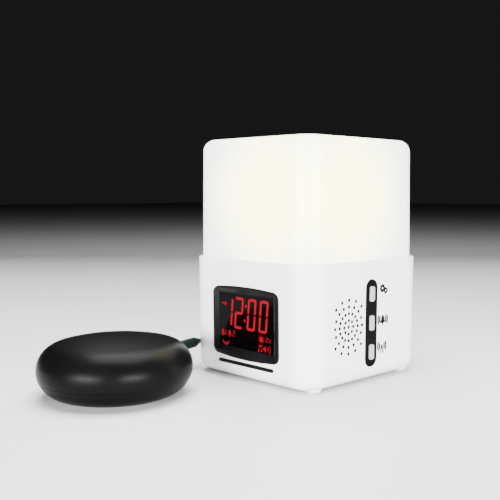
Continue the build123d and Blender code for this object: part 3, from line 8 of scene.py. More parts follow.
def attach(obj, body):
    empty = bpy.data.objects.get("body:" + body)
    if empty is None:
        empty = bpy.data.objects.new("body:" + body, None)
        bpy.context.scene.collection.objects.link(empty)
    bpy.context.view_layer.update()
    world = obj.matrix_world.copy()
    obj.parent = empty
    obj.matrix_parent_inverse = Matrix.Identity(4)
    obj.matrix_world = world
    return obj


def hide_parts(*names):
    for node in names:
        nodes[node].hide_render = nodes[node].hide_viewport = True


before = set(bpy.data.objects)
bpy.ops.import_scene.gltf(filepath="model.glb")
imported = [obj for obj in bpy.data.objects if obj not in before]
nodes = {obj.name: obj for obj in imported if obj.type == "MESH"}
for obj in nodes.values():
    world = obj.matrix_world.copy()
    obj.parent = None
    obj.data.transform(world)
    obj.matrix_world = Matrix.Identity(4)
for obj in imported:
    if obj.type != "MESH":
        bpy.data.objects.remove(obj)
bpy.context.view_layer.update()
scene = bpy.context.scene

MM = 0.001

# Sizes shared with the solids, in millimetres. SHADE_HALF is half the shade's width at its middle, and
# LCD_FRONT is the display's face, from the front wall outward.
FOOT_HEIGHT = 0.8
RIM_HEIGHT = 76.7
BASE_HALF = 54.3
RIM_HALF = 55.0
SHADE_HALF = 52.4
LCD_FRONT = -0.5

# The walls lean outward by DRAFT. GROUND_HALF is half the width that their planes would have at the table.
DRAFT = atan2(RIM_HALF - BASE_HALF, RIM_HEIGHT - FOOT_HEIGHT)
GROUND_HALF = BASE_HALF - FOOT_HEIGHT * tan(DRAFT)


# ---- Camera: millimetres for the lens and its sensor, degrees for the angles, metres for the rest

CAMERA_LENS = 56.432
CAMERA_SENSOR = 36
CAMERA_SHIFT = -0.1
CAMERA_TURN = 44.396
CAMERA_PITCH = 4.3002
CAMERA_ROLL = 0.1268
CAMERA_DISTANCE = 0.521017
CAMERA_ACROSS = -0.004278
CAMERA_HEIGHT = 0.080057
CAMERA_NEAR, CAMERA_FAR = 0.01, 20


def make_camera():
    """The photograph's camera. It looks at a point above the middle of the clock's base."""
    turn, pitch, roll = radians(CAMERA_TURN), radians(CAMERA_PITCH), radians(CAMERA_ROLL)
    forward = Vector((-sin(turn) * cos(pitch), cos(turn) * cos(pitch), -sin(pitch)))
    level_right = Vector((cos(turn), sin(turn), 0))
    level_up = level_right.cross(forward)
    right = level_right * cos(roll) + level_up * sin(roll)
    up = level_up * cos(roll) - level_right * sin(roll)
    target = level_right * CAMERA_ACROSS + Vector((0, 0, CAMERA_HEIGHT))
    data = bpy.data.cameras.new("camera")
    data.lens = CAMERA_LENS
    data.sensor_width = CAMERA_SENSOR
    data.sensor_fit = "HORIZONTAL"
    data.shift_x = CAMERA_SHIFT
    data.clip_start, data.clip_end = CAMERA_NEAR, CAMERA_FAR
    camera = bpy.data.objects.new("camera", data)
    scene.collection.objects.link(camera)
    axes = Matrix((right, up, -forward)).transposed()
    camera.matrix_world = Matrix.Translation(target - forward * CAMERA_DISTANCE) @ axes.to_4x4()
    scene.camera = camera


make_camera()


# ---- Material tools

# A noise node's detail for slow waves, for most uses and for fine grain, and its roughness
SLOW_DETAIL, PLAIN_DETAIL, FINE_DETAIL = 4.0, 3.0, 2.0
NOISE_ROUGHNESS = 0.55
# The part of its range that a noise mostly fills
NOISE_LOW, NOISE_HIGH = 0.3, 0.7
# How much of the gloss follows the slow waves, how far it goes either way, and the coat's roughness
SLOW_SHARE = 0.6
GLOSS_SWING = 0.15
COAT_ROUGHNESS = 0.08


def new_material(name, colour, roughness, metallic=0.0):
    """A Principled material, with its shader and its node tree."""
    mat = bpy.data.materials.new(name)
    mat.use_nodes = True
    tree = mat.node_tree
    shader = tree.nodes["Principled BSDF"]
    shader.inputs["Base Color"].default_value = (*colour, 1)
    shader.inputs["Roughness"].default_value = roughness
    shader.inputs["Metallic"].default_value = metallic
    return mat, shader, tree


def add_node(tree, kind, **values):
    """A node with its properties, or its input sockets where the name is one of those."""
    node = tree.nodes.new(kind)
    for key, value in values.items():
        if key in node.inputs:
            node.inputs[key].default_value = value
        else:
            setattr(node, key, value)
    return node


def place_of(tree):
    """Object coordinates in millimetres."""
    coord = tree.nodes.new("ShaderNodeTexCoord")
    mapping = tree.nodes.new("ShaderNodeMapping")
    mapping.inputs["Scale"].default_value = (1 / MM, 1 / MM, 1 / MM)
    tree.links.new(coord.outputs["Object"], mapping.inputs["Vector"])
    return mapping.outputs["Vector"]


def axes_of(tree, place):
    """The three coordinates of a place."""
    node = add_node(tree, "ShaderNodeSeparateXYZ")
    tree.links.new(place, node.inputs["Vector"])
    return node.outputs["X"], node.outputs["Y"], node.outputs["Z"]


def vector_of(tree, operation, place, vector, output="Vector"):
    """A vector node between a place and a fixed vector."""
    node = add_node(tree, "ShaderNodeVectorMath", operation=operation)
    tree.links.new(place, node.inputs[0])
    node.inputs[1].default_value = vector
    return node.outputs[output]


def noise_of(tree, place, scale, detail=PLAIN_DETAIL):
    """Noise from 0 to 1. The scale is in waves to a millimetre."""
    node = add_node(tree, "ShaderNodeTexNoise", Scale=scale, Detail=detail, Roughness=NOISE_ROUGHNESS)
    tree.links.new(place, node.inputs["Vector"])
    return node.outputs["Fac"]


def spread(tree, value, low, high, start=NOISE_LOW, end=NOISE_HIGH, ease="LINEAR"):
    """Map a value from start to end onto low to high, and hold it there beyond them."""
    node = add_node(tree, "ShaderNodeMapRange", interpolation_type=ease)
    for key, number in (("From Min", start), ("From Max", end), ("To Min", low), ("To Max", high)):
        node.inputs[key].default_value = number
    tree.links.new(value, node.inputs["Value"])
    return node.outputs["Result"]


def math_of(tree, operation, *values):
    """A math node on numbers or sockets."""
    node = add_node(tree, "ShaderNodeMath", operation=operation)
    for socket, value in zip(node.inputs, values):
        if isinstance(value, (int, float)):
            socket.default_value = value
        else:
            tree.links.new(value, socket)
    return node.outputs["Value"]


def length_of(tree, first, second):
    """Length of a flat vector from its two parts."""
    squares = [math_of(tree, "MULTIPLY", part, part) for part in (first, second)]
    return math_of(tree, "SQRT", math_of(tree, "ADD", *squares))


def mix_colours(tree, factor, first, second):
    """A mix of two colours, each given as numbers or as a socket."""
    node = add_node(tree, "ShaderNodeMix", data_type="RGBA")
    tree.links.new(factor, node.inputs["Factor"])
    for socket, colour in ((node.inputs["A"], first), (node.inputs["B"], second)):
        if isinstance(colour, tuple):
            socket.default_value = (*colour, 1)
        else:
            tree.links.new(colour, socket)
    return node.outputs["Result"]


def add_bump(tree, shader, height, depth):
    """Bump of a depth in millimetres."""
    node = add_node(tree, "ShaderNodeBump", Strength=1.0, Distance=depth * MM)
    tree.links.new(height, node.inputs["Height"])
    tree.links.new(node.outputs["Normal"], shader.inputs["Normal"])


def moulded(name, colour, roughness, grain=8.0, depth=0.004, vary=0.03, metallic=0.0, coat=0.0, patch=0.05,
            specular=0.5):
    """Moulded or turned surface: fine grain, slow waves in gloss and a little colour variation."""
    mat, shader, tree = new_material(name, colour, roughness, metallic)
    place = place_of(tree)
    slow = noise_of(tree, place, patch, SLOW_DETAIL)
    fine = noise_of(tree, place, grain, FINE_DETAIL)
    darker = tuple(c * (1 - vary) for c in colour)
    lighter = tuple(min(1.0, c * (1 + vary)) for c in colour)
    tree.links.new(mix_colours(tree, spread(tree, slow, 0, 1), darker, lighter), shader.inputs["Base Color"])
    mixed = math_of(tree, "ADD", math_of(tree, "MULTIPLY", slow, SLOW_SHARE),
                    math_of(tree, "MULTIPLY", fine, 1 - SLOW_SHARE))
    gloss = spread(tree, mixed, roughness * (1 - GLOSS_SWING), roughness * (1 + GLOSS_SWING))
    tree.links.new(gloss, shader.inputs["Roughness"])
    add_bump(tree, shader, fine, depth)
    shader.inputs["Specular IOR Level"].default_value = specular
    shader.inputs["Coat Weight"].default_value = coat
    shader.inputs["Coat Roughness"].default_value = COAT_ROUGHNESS
    return mat


def paint(mat, factor, colour):
    """Mix another colour over a material's own, where the factor rises to 1."""
    tree = mat.node_tree
    base = tree.nodes["Principled BSDF"].inputs["Base Color"]
    own = base.links[0].from_socket
    tree.links.new(mix_colours(tree, factor, own, colour), base)


def shining(mat, colour, strength):
    """The same material with its own light."""
    shader = mat.node_tree.nodes["Principled BSDF"]
    shader.inputs["Emission Color"].default_value = (*colour, 1)
    shader.inputs["Emission Strength"].default_value = strength
    return mat


def dress(names, mat):
    """Give a material to nodes."""
    for name in names:
        materials = nodes[name].data.materials
        materials.clear()
        materials.append(mat)


def new_piece(name, mesh_or_curve, mat, body="clock"):
    """A piece of the clock in one material, which rides on a body."""
    piece = bpy.data.objects.new(name, mesh_or_curve)
    scene.collection.objects.link(piece)
    piece.data.materials.append(mat)
    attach(piece, body)
    return piece


# ---- Cord: one spline from the pad's strain relief, along the clock, through the coil and to the plug

CORD_DIAMETER = 2.8
BOOT_TIP = (-60.369, -43.838, 16.6)
SIDE_ROUTE = [
    (-63.165, -34.863, 16.6),
    (-64.793, -24.486, 14.4),
    (-65.393, -13.519, 9.8),
    (-65.493, -0.977, 5.2),
    (-65.593, 14.007, 2.2),
    (-65.193, 27.526, 1.4),
    (-63.893, 40.014, 1.5),
    (-59.593, 51.415, 1.7),
    (-49.8, 60.993, 2.5),
]
COIL_START = (-36.8, 60.993, 2.5)
COIL_END = (-31.2, 60.993, 12.4)
PLUG_ROUTE = [(-25.2, 60.993, 12.4), (-19.0, 61.393, 14.995)]
RELIEF_TIP = (-13.0, 61.393, 14.995)
COIL_CENTRE = (-34.0, 84.393)
COIL_MIDDLE = 16.8
COIL_PITCH = 3.3
COIL_STEPS = 8
COIL_LEVEL = 2.5
HALF_TURN_POINTS = 8


def coil_points():
    """Control points of the coil: half turns that spiral in, out, in and out, climbing at each reversal."""
    inner = COIL_MIDDLE - COIL_PITCH * COIL_STEPS / 4
    inward = [(k, 0) for k in range(COIL_STEPS, 0, -1)]
    outward = [(0, 1)] + [(k, 0) for k in range(1, COIL_STEPS)]
    turns = inward + outward + [(COIL_STEPS, 1)] + inward[1:] + outward
    south = COIL_CENTRE[1] - inner - COIL_STEPS * COIL_PITCH / 2
    level = COIL_LEVEL
    heading = 1
    points = []
    for step, climb in turns:
        radius = inner + step * COIL_PITCH / 2
        middle = south + radius * heading
        swing = radius / cos(pi / 2 / HALF_TURN_POINTS)
        for i in range(HALF_TURN_POINTS):
            share = (i + 0.5) / HALF_TURN_POINTS
            angle = pi * share - pi / 2
            points.append((COIL_CENTRE[0] + heading * swing * cos(angle),
                           middle + heading * swing * sin(angle),
                           level + climb * COIL_PITCH * share))
        south += 2 * radius * heading
        level += climb * COIL_PITCH
        heading = -heading
    return points


def make_cord(mat):
    """The cord as one curve with the route's points as its control points."""
    route = [BOOT_TIP] + SIDE_ROUTE + [COIL_START] + coil_points() + [COIL_END] + PLUG_ROUTE + [RELIEF_TIP]
    curve = bpy.data.curves.new("cord", "CURVE")
    curve.dimensions = "3D"
    curve.bevel_depth = CORD_DIAMETER / 2 * MM
    curve.bevel_resolution = 6
    curve.resolution_u = 5
    curve.use_fill_caps = True
    spline = curve.splines.new("NURBS")
    spline.points.add(len(route) - 1)
    for point, place in zip(spline.points, route):
        point.co = (*[c * MM for c in place], 1)
    spline.order_u = 3
    spline.use_endpoint_u = True
    piece = new_piece("cord", curve, mat)
    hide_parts("cord_from_pad", "cord_coil", "cord_to_plug")


cord_finish = moulded("cord_jacket", (0.003, 0.0085, 0.009), 0.5, grain=5.0, depth=0.006, vary=0.12,
                      specular=0.12)
make_cord(cord_finish)


# ---- Flat shapes on the walls. Outlines are in millimetres, across the wall and up it.

def front_place(x, z, out):
    """A point on the front wall, in metres: x across, z up the wall, out from it."""
    s, c = sin(DRAFT), cos(DRAFT)
    return Vector((x, -GROUND_HALF - s * z - c * out, c * z - s * out)) * MM


def side_place(y, z, out):
    """A point on the right wall, in metres."""
    s, c = sin(DRAFT), cos(DRAFT)
    return Vector((GROUND_HALF + s * z + c * out, y, c * z - s * out)) * MM


def prism(bm, outline, low, high, place):
    """A flat plate between two heights over a wall. The outline runs anticlockwise as seen from outside."""
    bottom = [bm.verts.new(place(x, z, low)) for x, z in outline]
    top = [bm.verts.new(place(x, z, high)) for x, z in outline]
    bm.faces.new(top)
    bm.faces.new(bottom[::-1])
    for i in range(len(outline)):
        j = (i + 1) % len(outline)
        bm.faces.new((bottom[i], bottom[j], top[j], top[i]))


def ring_prism(bm, outer, inner, low, high, place):
    """A flat ring between two outlines of as many points."""
    loops = [[bm.verts.new(place(x, z, h)) for x, z in loop]
             for loop, h in ((outer, high), (inner, high), (inner, low), (outer, low))]
    count = len(outer)
    for a, b in zip(loops, loops[1:] + loops[:1]):
        for i in range(count):
            j = (i + 1) % count
            bm.faces.new((a[i], a[j], b[j], b[i]))


def circle(x, z, radius, count=20, start=0.0, end=2 * pi):
    """Points on an arc. A full circle leaves out the repeated last point."""
    full = abs(end - start - 2 * pi) < 0.001
    steps = count if full else count - 1
    angles = [start + (end - start) * i / steps for i in range(count)]
    return [(x + radius * cos(a), z + radius * sin(a)) for a in angles]


def arc_band(x, z, radius, width, start, end, count=12):
    """Outline of an arc of a width."""
    outer = circle(x, z, radius + width / 2, count, start, end)
    return outer + circle(x, z, radius - width / 2, count, start, end)[::-1]


def band(path, width):
    """Outline of a stroke of a width along a path."""
    left, right = [], []
    for i, (x, z) in enumerate(path):
        (ax, az), (bx, bz) = path[max(i - 1, 0)], path[min(i + 1, len(path) - 1)]
        reach = sqrt((bx - ax) ** 2 + (bz - az) ** 2)
        nx, nz = (az - bz) / reach * width / 2, (bx - ax) / reach * width / 2
        left.append((x + nx, z + nz))
        right.append((x - nx, z - nz))
    return right + left[::-1]


def box_outline(x0, z0, x1, z1):
    """A rectangle from its lower left to its upper right corner."""
    return [(x0, z0), (x1, z0), (x1, z1), (x0, z1)]


# Shares of a bell's width: its dome's radius, and how far its mouth and its lip lie under its middle
BELL_DOME, BELL_MOUTH, BELL_LIP = 0.30, 0.52, 0.40


def bell_outline(x, z, size):
    """Bell with a round top and a flared mouth, size wide."""
    half = size / 2
    dome = circle(x, z + BELL_DOME * size, BELL_DOME * size, count=9, start=0, end=pi)
    mouth, lip = z - BELL_MOUTH * size, z - BELL_LIP * size
    return [(x - half, mouth), (x + half, mouth), (x + half, lip)] + dome + [(x - half, lip)]


def finish_mesh(name, bm):
    """The mesh, with its faces turned outward."""
    bmesh.ops.recalc_face_normals(bm, faces=bm.faces)
    mesh = bpy.data.meshes.new(name)
    bm.to_mesh(mesh)
    bm.free()
    return mesh


# ---- Display digits and signs, standing a little off the panel

LIT_LOW, LIT_HIGH = LCD_FRONT - 0.02, LCD_FRONT + 0.05

DIGITS = (("1", -20.7), ("2", -11.05), ("0", 0.6), ("0", 11.4))
DIGIT_HEIGHT = 20.2
DIGIT_WIDTH = 7.8
DIGIT_STROKE = 1.8
DIGIT_BASE = 32.9
DIGIT_SLANT = 0.1
DIGIT_GAP = 0.85
# Shares of a digit's stroke: the radius of its round corners, and the reach of a 2's two ends past them
CORNER_SHARE = 0.62
TWO_START_SHARE = 0.3
TWO_END_SHARE = 0.1
# Shares of a digit's height between which a 1 stands
ONE_LOW_SHARE, ONE_HIGH_SHARE = 0.075, 0.91
COLON = ((0.46, 48.0), (-0.9, 38.7))
COLON_RADIUS = 0.95

SIGN_STROKE = 0.5
POINTER_SHAFT = (-22.6, 47.6, -19.7, 48.6)
POINTER_HEAD = ((-19.8, 46.2), (-17.2, 47.9), (-19.8, 49.4))
# The two alarms: the bell's place, its number, and how far the number stands from it
ALARMS = ((-21.7, "1", 0.6), (-15.1, "2", 2.5))
ALARM_BELL_LEVEL, ALARM_BELL_SIZE = 29.4, 3.2
ALARM_CLAPPER_LEVEL, ALARM_CLAPPER_RADIUS = 27.1, 0.5
ALARM_DIGIT_LEVEL = 27.3
ALARM_DIGIT_WIDTH, ALARM_DIGIT_HEIGHT = 2.2, 4.0
ALARM_DIGIT_STROKE, ALARM_DIGIT_GAP = 0.6, 0.2
# A crescent that lies on its back: height, radius and the angles of its lower and its upper edge
CRESCENT_PLACE = -19.0
CRESCENT_EDGES = ((24.6, 3.3, -170, -10), (27.2, 4.0, -40, -140))
SUN_PLACE, SUN_LEVEL = 14.2, 29.1
SUN_RADIUS = 1.75
SUN_RAYS = 10
SUN_RAY_START, SUN_RAY_END, SUN_RAY_WIDTH = 2.1, 2.9, 0.45
# Zigzags: place, height and half size, and the share of that size at which their strokes meet
ZIGZAGS = ((19.2, 29.4, 1.2), (21.9, 29.0, 0.85))
ZIGZAG_SHARE = 0.8
# Two notes under one beam
NOTE_PLACES = (11.7, 14.3)
NOTE_LEVEL, NOTE_RADIUS = 21.9, 0.75
STEM_NEAR, STEM_FAR, STEM_LOW, STEM_HIGH = 0.25, 0.75, 22.0, 24.9
BEAM = ((12.0, 24.9), (15.05, 25.3))
BEAM_WIDTH = 0.9
LOUDSPEAKER = ((15.9, 22.6), (16.6, 22.6), (18.3, 21.2), (18.3, 25.6), (16.6, 24.2), (15.9, 24.2))
LOUDSPEAKER_WAVES = (1.5, 2.8, 4.1)
LOUDSPEAKER_MOUTH = (18.0, 23.5)
LOUDSPEAKER_ANGLE = 38


def lit_plate(bm, outline):
    """A thin plate on the display."""
    prism(bm, outline, LIT_LOW, LIT_HIGH, front_place)


def bend(x, z, radius, start, end):
    """Points of a round corner, in degrees."""
    return circle(x, z, radius, count=7, start=radians(start), end=radians(end))


def digit_paths(digit, width, height, stroke, gap):
    """Middle lines of a digit's strokes, from its lower left corner."""
    low, high, mid = stroke / 2, height - stroke / 2, height / 2
    x0, x1, r = stroke / 2, width - stroke / 2, stroke * CORNER_SHARE
    under, over = mid - gap / 2, mid + gap / 2
    if digit == "1":
        return [[(x1, height * ONE_LOW_SHARE), (x1, under)], [(x1, over), (x1, height * ONE_HIGH_SHARE)]]
    if digit == "2":
        return [[(x0 - stroke * TWO_START_SHARE, high)]
                + bend(x1 - r, high - r, r, 90, 0)
                + bend(x1 - r, mid + r, r, 0, -90)
                + bend(x0 + r, mid - r, r, 90, 180)
                + bend(x0 + r, low + r, r, 180, 270)
                + [(x1 + stroke * TWO_END_SHARE, low)]]
    upper = ([(x0, over)] + bend(x0 + r, high - r, r, 180, 90)
             + bend(x1 - r, high - r, r, 90, 0) + [(x1, over)])
    lower = ([(x1, under)] + bend(x1 - r, low + r, r, 0, -90)
             + bend(x0 + r, low + r, r, 270, 180) + [(x0, under)])
    return [upper, lower]


def add_digit(bm, digit, x, z, width, height, stroke, gap):
    """A slanted digit from its lower left corner."""
    for path in digit_paths(digit, width, height, stroke, gap):
        lit_plate(bm, [(x + px + pz * DIGIT_SLANT, z + pz) for px, pz in band(path, stroke)])


def make_digits(mat):
    """The time: 12:00."""
    bm = bmesh.new()
    for digit, x in DIGITS:
        add_digit(bm, digit, x, DIGIT_BASE, DIGIT_WIDTH, DIGIT_HEIGHT, DIGIT_STROKE, DIGIT_GAP)
    for x, z in COLON:
        lit_plate(bm, circle(x, z, COLON_RADIUS, count=14))
    new_piece("display_digits", finish_mesh("display_digits", bm), mat)


def add_alarms(bm):
    """Two bells, each with its number, and a crescent."""
    for x, digit, aside in ALARMS:
        lit_plate(bm, bell_outline(x, ALARM_BELL_LEVEL, ALARM_BELL_SIZE))
        lit_plate(bm, circle(x, ALARM_CLAPPER_LEVEL, ALARM_CLAPPER_RADIUS, count=10))
        add_digit(bm, digit, x + aside, ALARM_DIGIT_LEVEL, ALARM_DIGIT_WIDTH, ALARM_DIGIT_HEIGHT,
                  ALARM_DIGIT_STROKE, ALARM_DIGIT_GAP)
    edges = [circle(CRESCENT_PLACE, z, radius, count=17, start=radians(start), end=radians(end))
             for z, radius, start, end in CRESCENT_EDGES]
    lit_plate(bm, edges[0] + edges[1])


def add_sun(bm):
    """A disc with rays around it."""
    lit_plate(bm, circle(SUN_PLACE, SUN_LEVEL, SUN_RADIUS))
    for i in range(SUN_RAYS):
        a = 2 * pi * i / SUN_RAYS
        ray = [(SUN_PLACE + reach * cos(a), SUN_LEVEL + reach * sin(a))
               for reach in (SUN_RAY_START, SUN_RAY_END)]
        lit_plate(bm, band(ray, SUN_RAY_WIDTH))


def add_zigzags(bm):
    """Two signs of three strokes each, a large one and a small one."""
    for x, z, size in ZIGZAGS:
        near, far = x - size * ZIGZAG_SHARE, x + size * ZIGZAG_SHARE
        points = [(x - size, z + size), (far, z + size), (near, z - size), (x + size, z - size)]
        for start, end in zip(points, points[1:]):
            lit_plate(bm, band([start, end], SIGN_STROKE))


def add_sound(bm):
    """Notes, and a loudspeaker with its waves."""
    for x in NOTE_PLACES:
        lit_plate(bm, circle(x, NOTE_LEVEL, NOTE_RADIUS, count=12))
        lit_plate(bm, box_outline(x + STEM_NEAR, STEM_LOW, x + STEM_FAR, STEM_HIGH))
    lit_plate(bm, band(BEAM, BEAM_WIDTH))
    lit_plate(bm, LOUDSPEAKER)
    angle = radians(LOUDSPEAKER_ANGLE)
    for radius in LOUDSPEAKER_WAVES:
        lit_plate(bm, arc_band(*LOUDSPEAKER_MOUTH, radius, SIGN_STROKE, -angle, angle))


def make_signs(mat):
    """The small signs around the time, from a pointer to the hours to the sound signs."""
    bm = bmesh.new()
    lit_plate(bm, box_outline(*POINTER_SHAFT))
    lit_plate(bm, POINTER_HEAD)
    add_alarms(bm)
    add_sun(bm)
    add_zigzags(bm)
    add_sound(bm)
    new_piece("display_signs", finish_mesh("display_signs", bm), mat)


# ---- Printed signs beside the keys

PRINT_LOW, PRINT_HIGH = -0.01, 0.03

# Gears: place, height, radius and hole
GEARS = ((12.1, 58.3, 2.9, 0.6), (15.4, 56.7, 2.25, 0.5))
GEAR_TEETH = 8
# Corners of a tooth: share of the step between teeth, and share of the radius
TOOTH = ((-0.3, 0.82), (-0.2, 1.0), (0.2, 1.0), (0.3, 0.82))
BELL_PLACE, BELL_LEVEL, BELL_SIZE = 12.9, 38.6, 4.6
CLAPPER_DROP, CLAPPER_RADIUS = 3.0, 0.8
BELL_WAVES, BELL_ANGLE = (3.1, 4.7), 36
MAST_PLACE, MAST_LEVEL = 12.4, 20.9
MAST = ((-2.1, -3.9), (-0.9, -3.9), (-0.1, -1.0), (0.1, -1.0), (0.9, -3.9), (2.1, -3.9), (0.8, 0), (-0.8, 0))
MAST_HEAD_RISE, MAST_HEAD_RADIUS = 0.6, 1.0
MAST_WAVES, MAST_ANGLE = (2.4, 4.1), 42
WAVE_WIDTH = 1.4


def print_plate(bm, outline):
    """A thin plate of ink on the right wall."""
    prism(bm, outline, PRINT_LOW, PRINT_HIGH, side_place)


def add_gear(bm, y, z, radius, hole):
    """A toothed ring. Its hole has as many points as its teeth, and starts at the same angle."""
    step = 2 * pi / GEAR_TEETH
    outline = []
    for i in range(GEAR_TEETH):
        for share, reach in TOOTH:
            angle = (i + share) * step
            outline.append((y + radius * reach * cos(angle), z + radius * reach * sin(angle)))
    turn = TOOTH[0][0] * step
    inner = circle(y, z, hole, count=len(outline), start=turn, end=turn + 2 * pi)
    ring_prism(bm, outline, inner, PRINT_LOW, PRINT_HIGH, side_place)


def add_waves(bm, y, z, radii, degrees):
    """Arcs on both sides of a point, each reaching so many degrees up and down."""
    reach = radians(degrees)
    for side in (0, pi):
        for radius in radii:
            print_plate(bm, arc_band(y, z, radius, WAVE_WIDTH, side - reach, side + reach))


def make_prints(mat):
    """Gears beside the setting key, a bell beside the alarm key and a mast beside the radio key."""
    bm = bmesh.new()
    for gear in GEARS:
        add_gear(bm, *gear)
    print_plate(bm, bell_outline(BELL_PLACE, BELL_LEVEL, BELL_SIZE))
    print_plate(bm, circle(BELL_PLACE, BELL_LEVEL - CLAPPER_DROP, CLAPPER_RADIUS, count=10))
    add_waves(bm, BELL_PLACE, BELL_LEVEL, BELL_WAVES, BELL_ANGLE)
    print_plate(bm, [(MAST_PLACE + y, MAST_LEVEL + z) for y, z in MAST])
    head = MAST_LEVEL + MAST_HEAD_RISE
    print_plate(bm, circle(MAST_PLACE, head, MAST_HEAD_RADIUS, count=14))
    add_waves(bm, MAST_PLACE, head, MAST_WAVES, MAST_ANGLE)
    new_piece("side_signs", finish_mesh("side_signs", bm), mat)


# ---- Finishes: plain plastics, metal, paper and foam

RED, RED_LIGHT = (0.1, 0.001, 0.003), (1.0, 0.012, 0.045)

bezel_finish = moulded("bezel_black", (0.004, 0.004, 0.0043), 0.22, grain=7.0, depth=0.0008, vary=0.1,
                       specular=0.06)
strip_finish = moulded("strip_black", (0.003, 0.003, 0.0032), 0.45, grain=6.0, depth=0.004, vary=0.1,
                       specular=0.02)
key_finish = moulded("key_grey", (0.32, 0.32, 0.325), 0.3, grain=8.0, depth=0.002, vary=0.02, coat=0.1)
foot_finish = moulded("foot_white", (0.72, 0.72, 0.72), 0.55, grain=4.0, depth=0.01, vary=0.03)
white_finish = moulded("inner_white", (0.8, 0.8, 0.79), 0.42, grain=5.0, depth=0.004)
knob_finish = moulded("knob_black", (0.006, 0.006, 0.0065), 0.42, grain=6.0, depth=0.005, vary=0.1,
                      specular=0.15)
steel_finish = moulded("zinc_steel", (0.6, 0.6, 0.61), 0.32, grain=3.0, depth=0.003, vary=0.08, metallic=1.0)
dark_finish = moulded("black_epoxy", (0.02, 0.02, 0.021), 0.4, grain=5.0, depth=0.003, vary=0.15)
paper_finish = moulded("black_paper", (0.025, 0.025, 0.026), 0.85, grain=2.0, depth=0.03, vary=0.3)
foam_finish = moulded("foam", (0.03, 0.03, 0.03), 0.95, grain=1.2, depth=0.1, vary=0.3)
tie_finish = moulded("tie_black", (0.005, 0.005, 0.0055), 0.5, grain=4.0, depth=0.01, vary=0.15,
                     specular=0.12)
capacitor_finish = moulded("capacitor_sleeve", (0.02, 0.03, 0.09), 0.3, grain=4.0, depth=0.003, vary=0.1)
print_finish = moulded("sign_ink", (0.004, 0.004, 0.0043), 0.6, grain=6.0, depth=0.002, vary=0.2,
                       specular=0.05)
digit_finish = shining(moulded("digit_red", RED, 0.5, vary=0.05, specular=0.03), RED_LIGHT, 0.2)
sign_finish = shining(moulded("sign_red", RED, 0.5, vary=0.05, specular=0.03), RED_LIGHT, 0.11)
light_finish = shining(moulded("light_chip", (0.9, 0.8, 0.4), 0.35, grain=3.0, depth=0.005),
                       (1.0, 0.86, 0.55), 6.0)


# ---- Finishes with a pattern of their own. Their places are in millimetres.

# The speaker's holes: their middle on the right wall, the step between rings, and each ring's number and
# holes. The last ring has none nearer to the middle's height than SPEAKER_CLEAR.
SPEAKER_PLACE = -19.8
SPEAKER_LEVEL = 37.4
SPEAKER_STEP = 4.1
SPEAKER_RINGS = ((1, 8), (2, 16), (3, 16), (4, 16))
SPEAKER_CLEAR = 9
# Painted shade in the speaker holes: full up to the first distance from a hole's axis and gone from the
# second
HOLE_SHADE_FULL, HOLE_SHADE_GONE = 1.05, 1.15
HOLE_SHADE_BLACK = (0.001, 0.001, 0.001)
# Inside the first x there is no painted hole shade, and from the second, at the right wall, it is full
WALL_START, WALL_END = 45, 50
FAR_AWAY = 1000


def make_housing_finish():
    """Glossy white plastic, with painted shade inside the speaker's sound holes and at their edge."""
    mat = moulded("housing_white", (0.88, 0.88, 0.885), 0.22, grain=9.0, depth=0.0015, vary=0.006, coat=0.5)
    tree = mat.node_tree
    x, y, z = axes_of(tree, place_of(tree))
    y = math_of(tree, "SUBTRACT", y, SPEAKER_PLACE)
    z = math_of(tree, "SUBTRACT", z, SPEAKER_LEVEL)
    reach = length_of(tree, y, z)
    angle = math_of(tree, "ARCTAN2", z, y)
    nearest = reach
    for ring, count in SPEAKER_RINGS:
        step = 2 * pi / count
        whole = math_of(tree, "ROUND", math_of(tree, "DIVIDE", angle, step))
        turn = math_of(tree, "SUBTRACT", angle, math_of(tree, "MULTIPLY", whole, step))
        along = math_of(tree, "MULTIPLY", turn, ring * SPEAKER_STEP)
        across = math_of(tree, "SUBTRACT", reach, ring * SPEAKER_STEP)
        if ring == len(SPEAKER_RINGS):
            missing = math_of(tree, "LESS_THAN", math_of(tree, "ABSOLUTE", z), SPEAKER_CLEAR)
            across = math_of(tree, "ADD", across, math_of(tree, "MULTIPLY", missing, FAR_AWAY))
        nearest = math_of(tree, "MINIMUM", nearest, length_of(tree, along, across))
    # Painted shade: dark inside the speaker holes' bores and at their edges, on the right wall only
    hole = spread(tree, nearest, 1, 0, HOLE_SHADE_FULL, HOLE_SHADE_GONE)
    wall = spread(tree, x, 0, 1, WALL_START, WALL_END)
    paint(mat, math_of(tree, "MULTIPLY", hole, wall), HOLE_SHADE_BLACK)
    return mat


# Painted sheen on the flat of the pad's top, and the heights between which it comes in
PAD_TOP_SHEEN = (0.004, 0.004, 0.004)
PAD_FLAT_START, PAD_FLAT_END = 29, 33.5


def make_pad_finish():
    """Black plastic, with a painted sheen that makes the flat of its top a little greyer."""
    mat = moulded("pad_black", (0.002, 0.002, 0.0021), 0.34, grain=7.0, depth=0.004, vary=0.15, patch=0.03,
                  specular=0.04)
    tree = mat.node_tree
    height = axes_of(tree, place_of(tree))[2]
    # Painted sheen: greyer on the flat of the top
    paint(mat, spread(tree, height, 0, 1, PAD_FLAT_START, PAD_FLAT_END), PAD_TOP_SHEEN)
    return mat


LACQUER, COPPER = (0.008, 0.085, 0.035), (0.03, 0.2, 0.07)
TRACE_SCALE, TRACE_WIDTH, TRACE_DEPTH = 0.35, 0.09, 0.03
TRACE_PATCH, TRACE_START, TRACE_END = 0.25, 0.45, 0.55


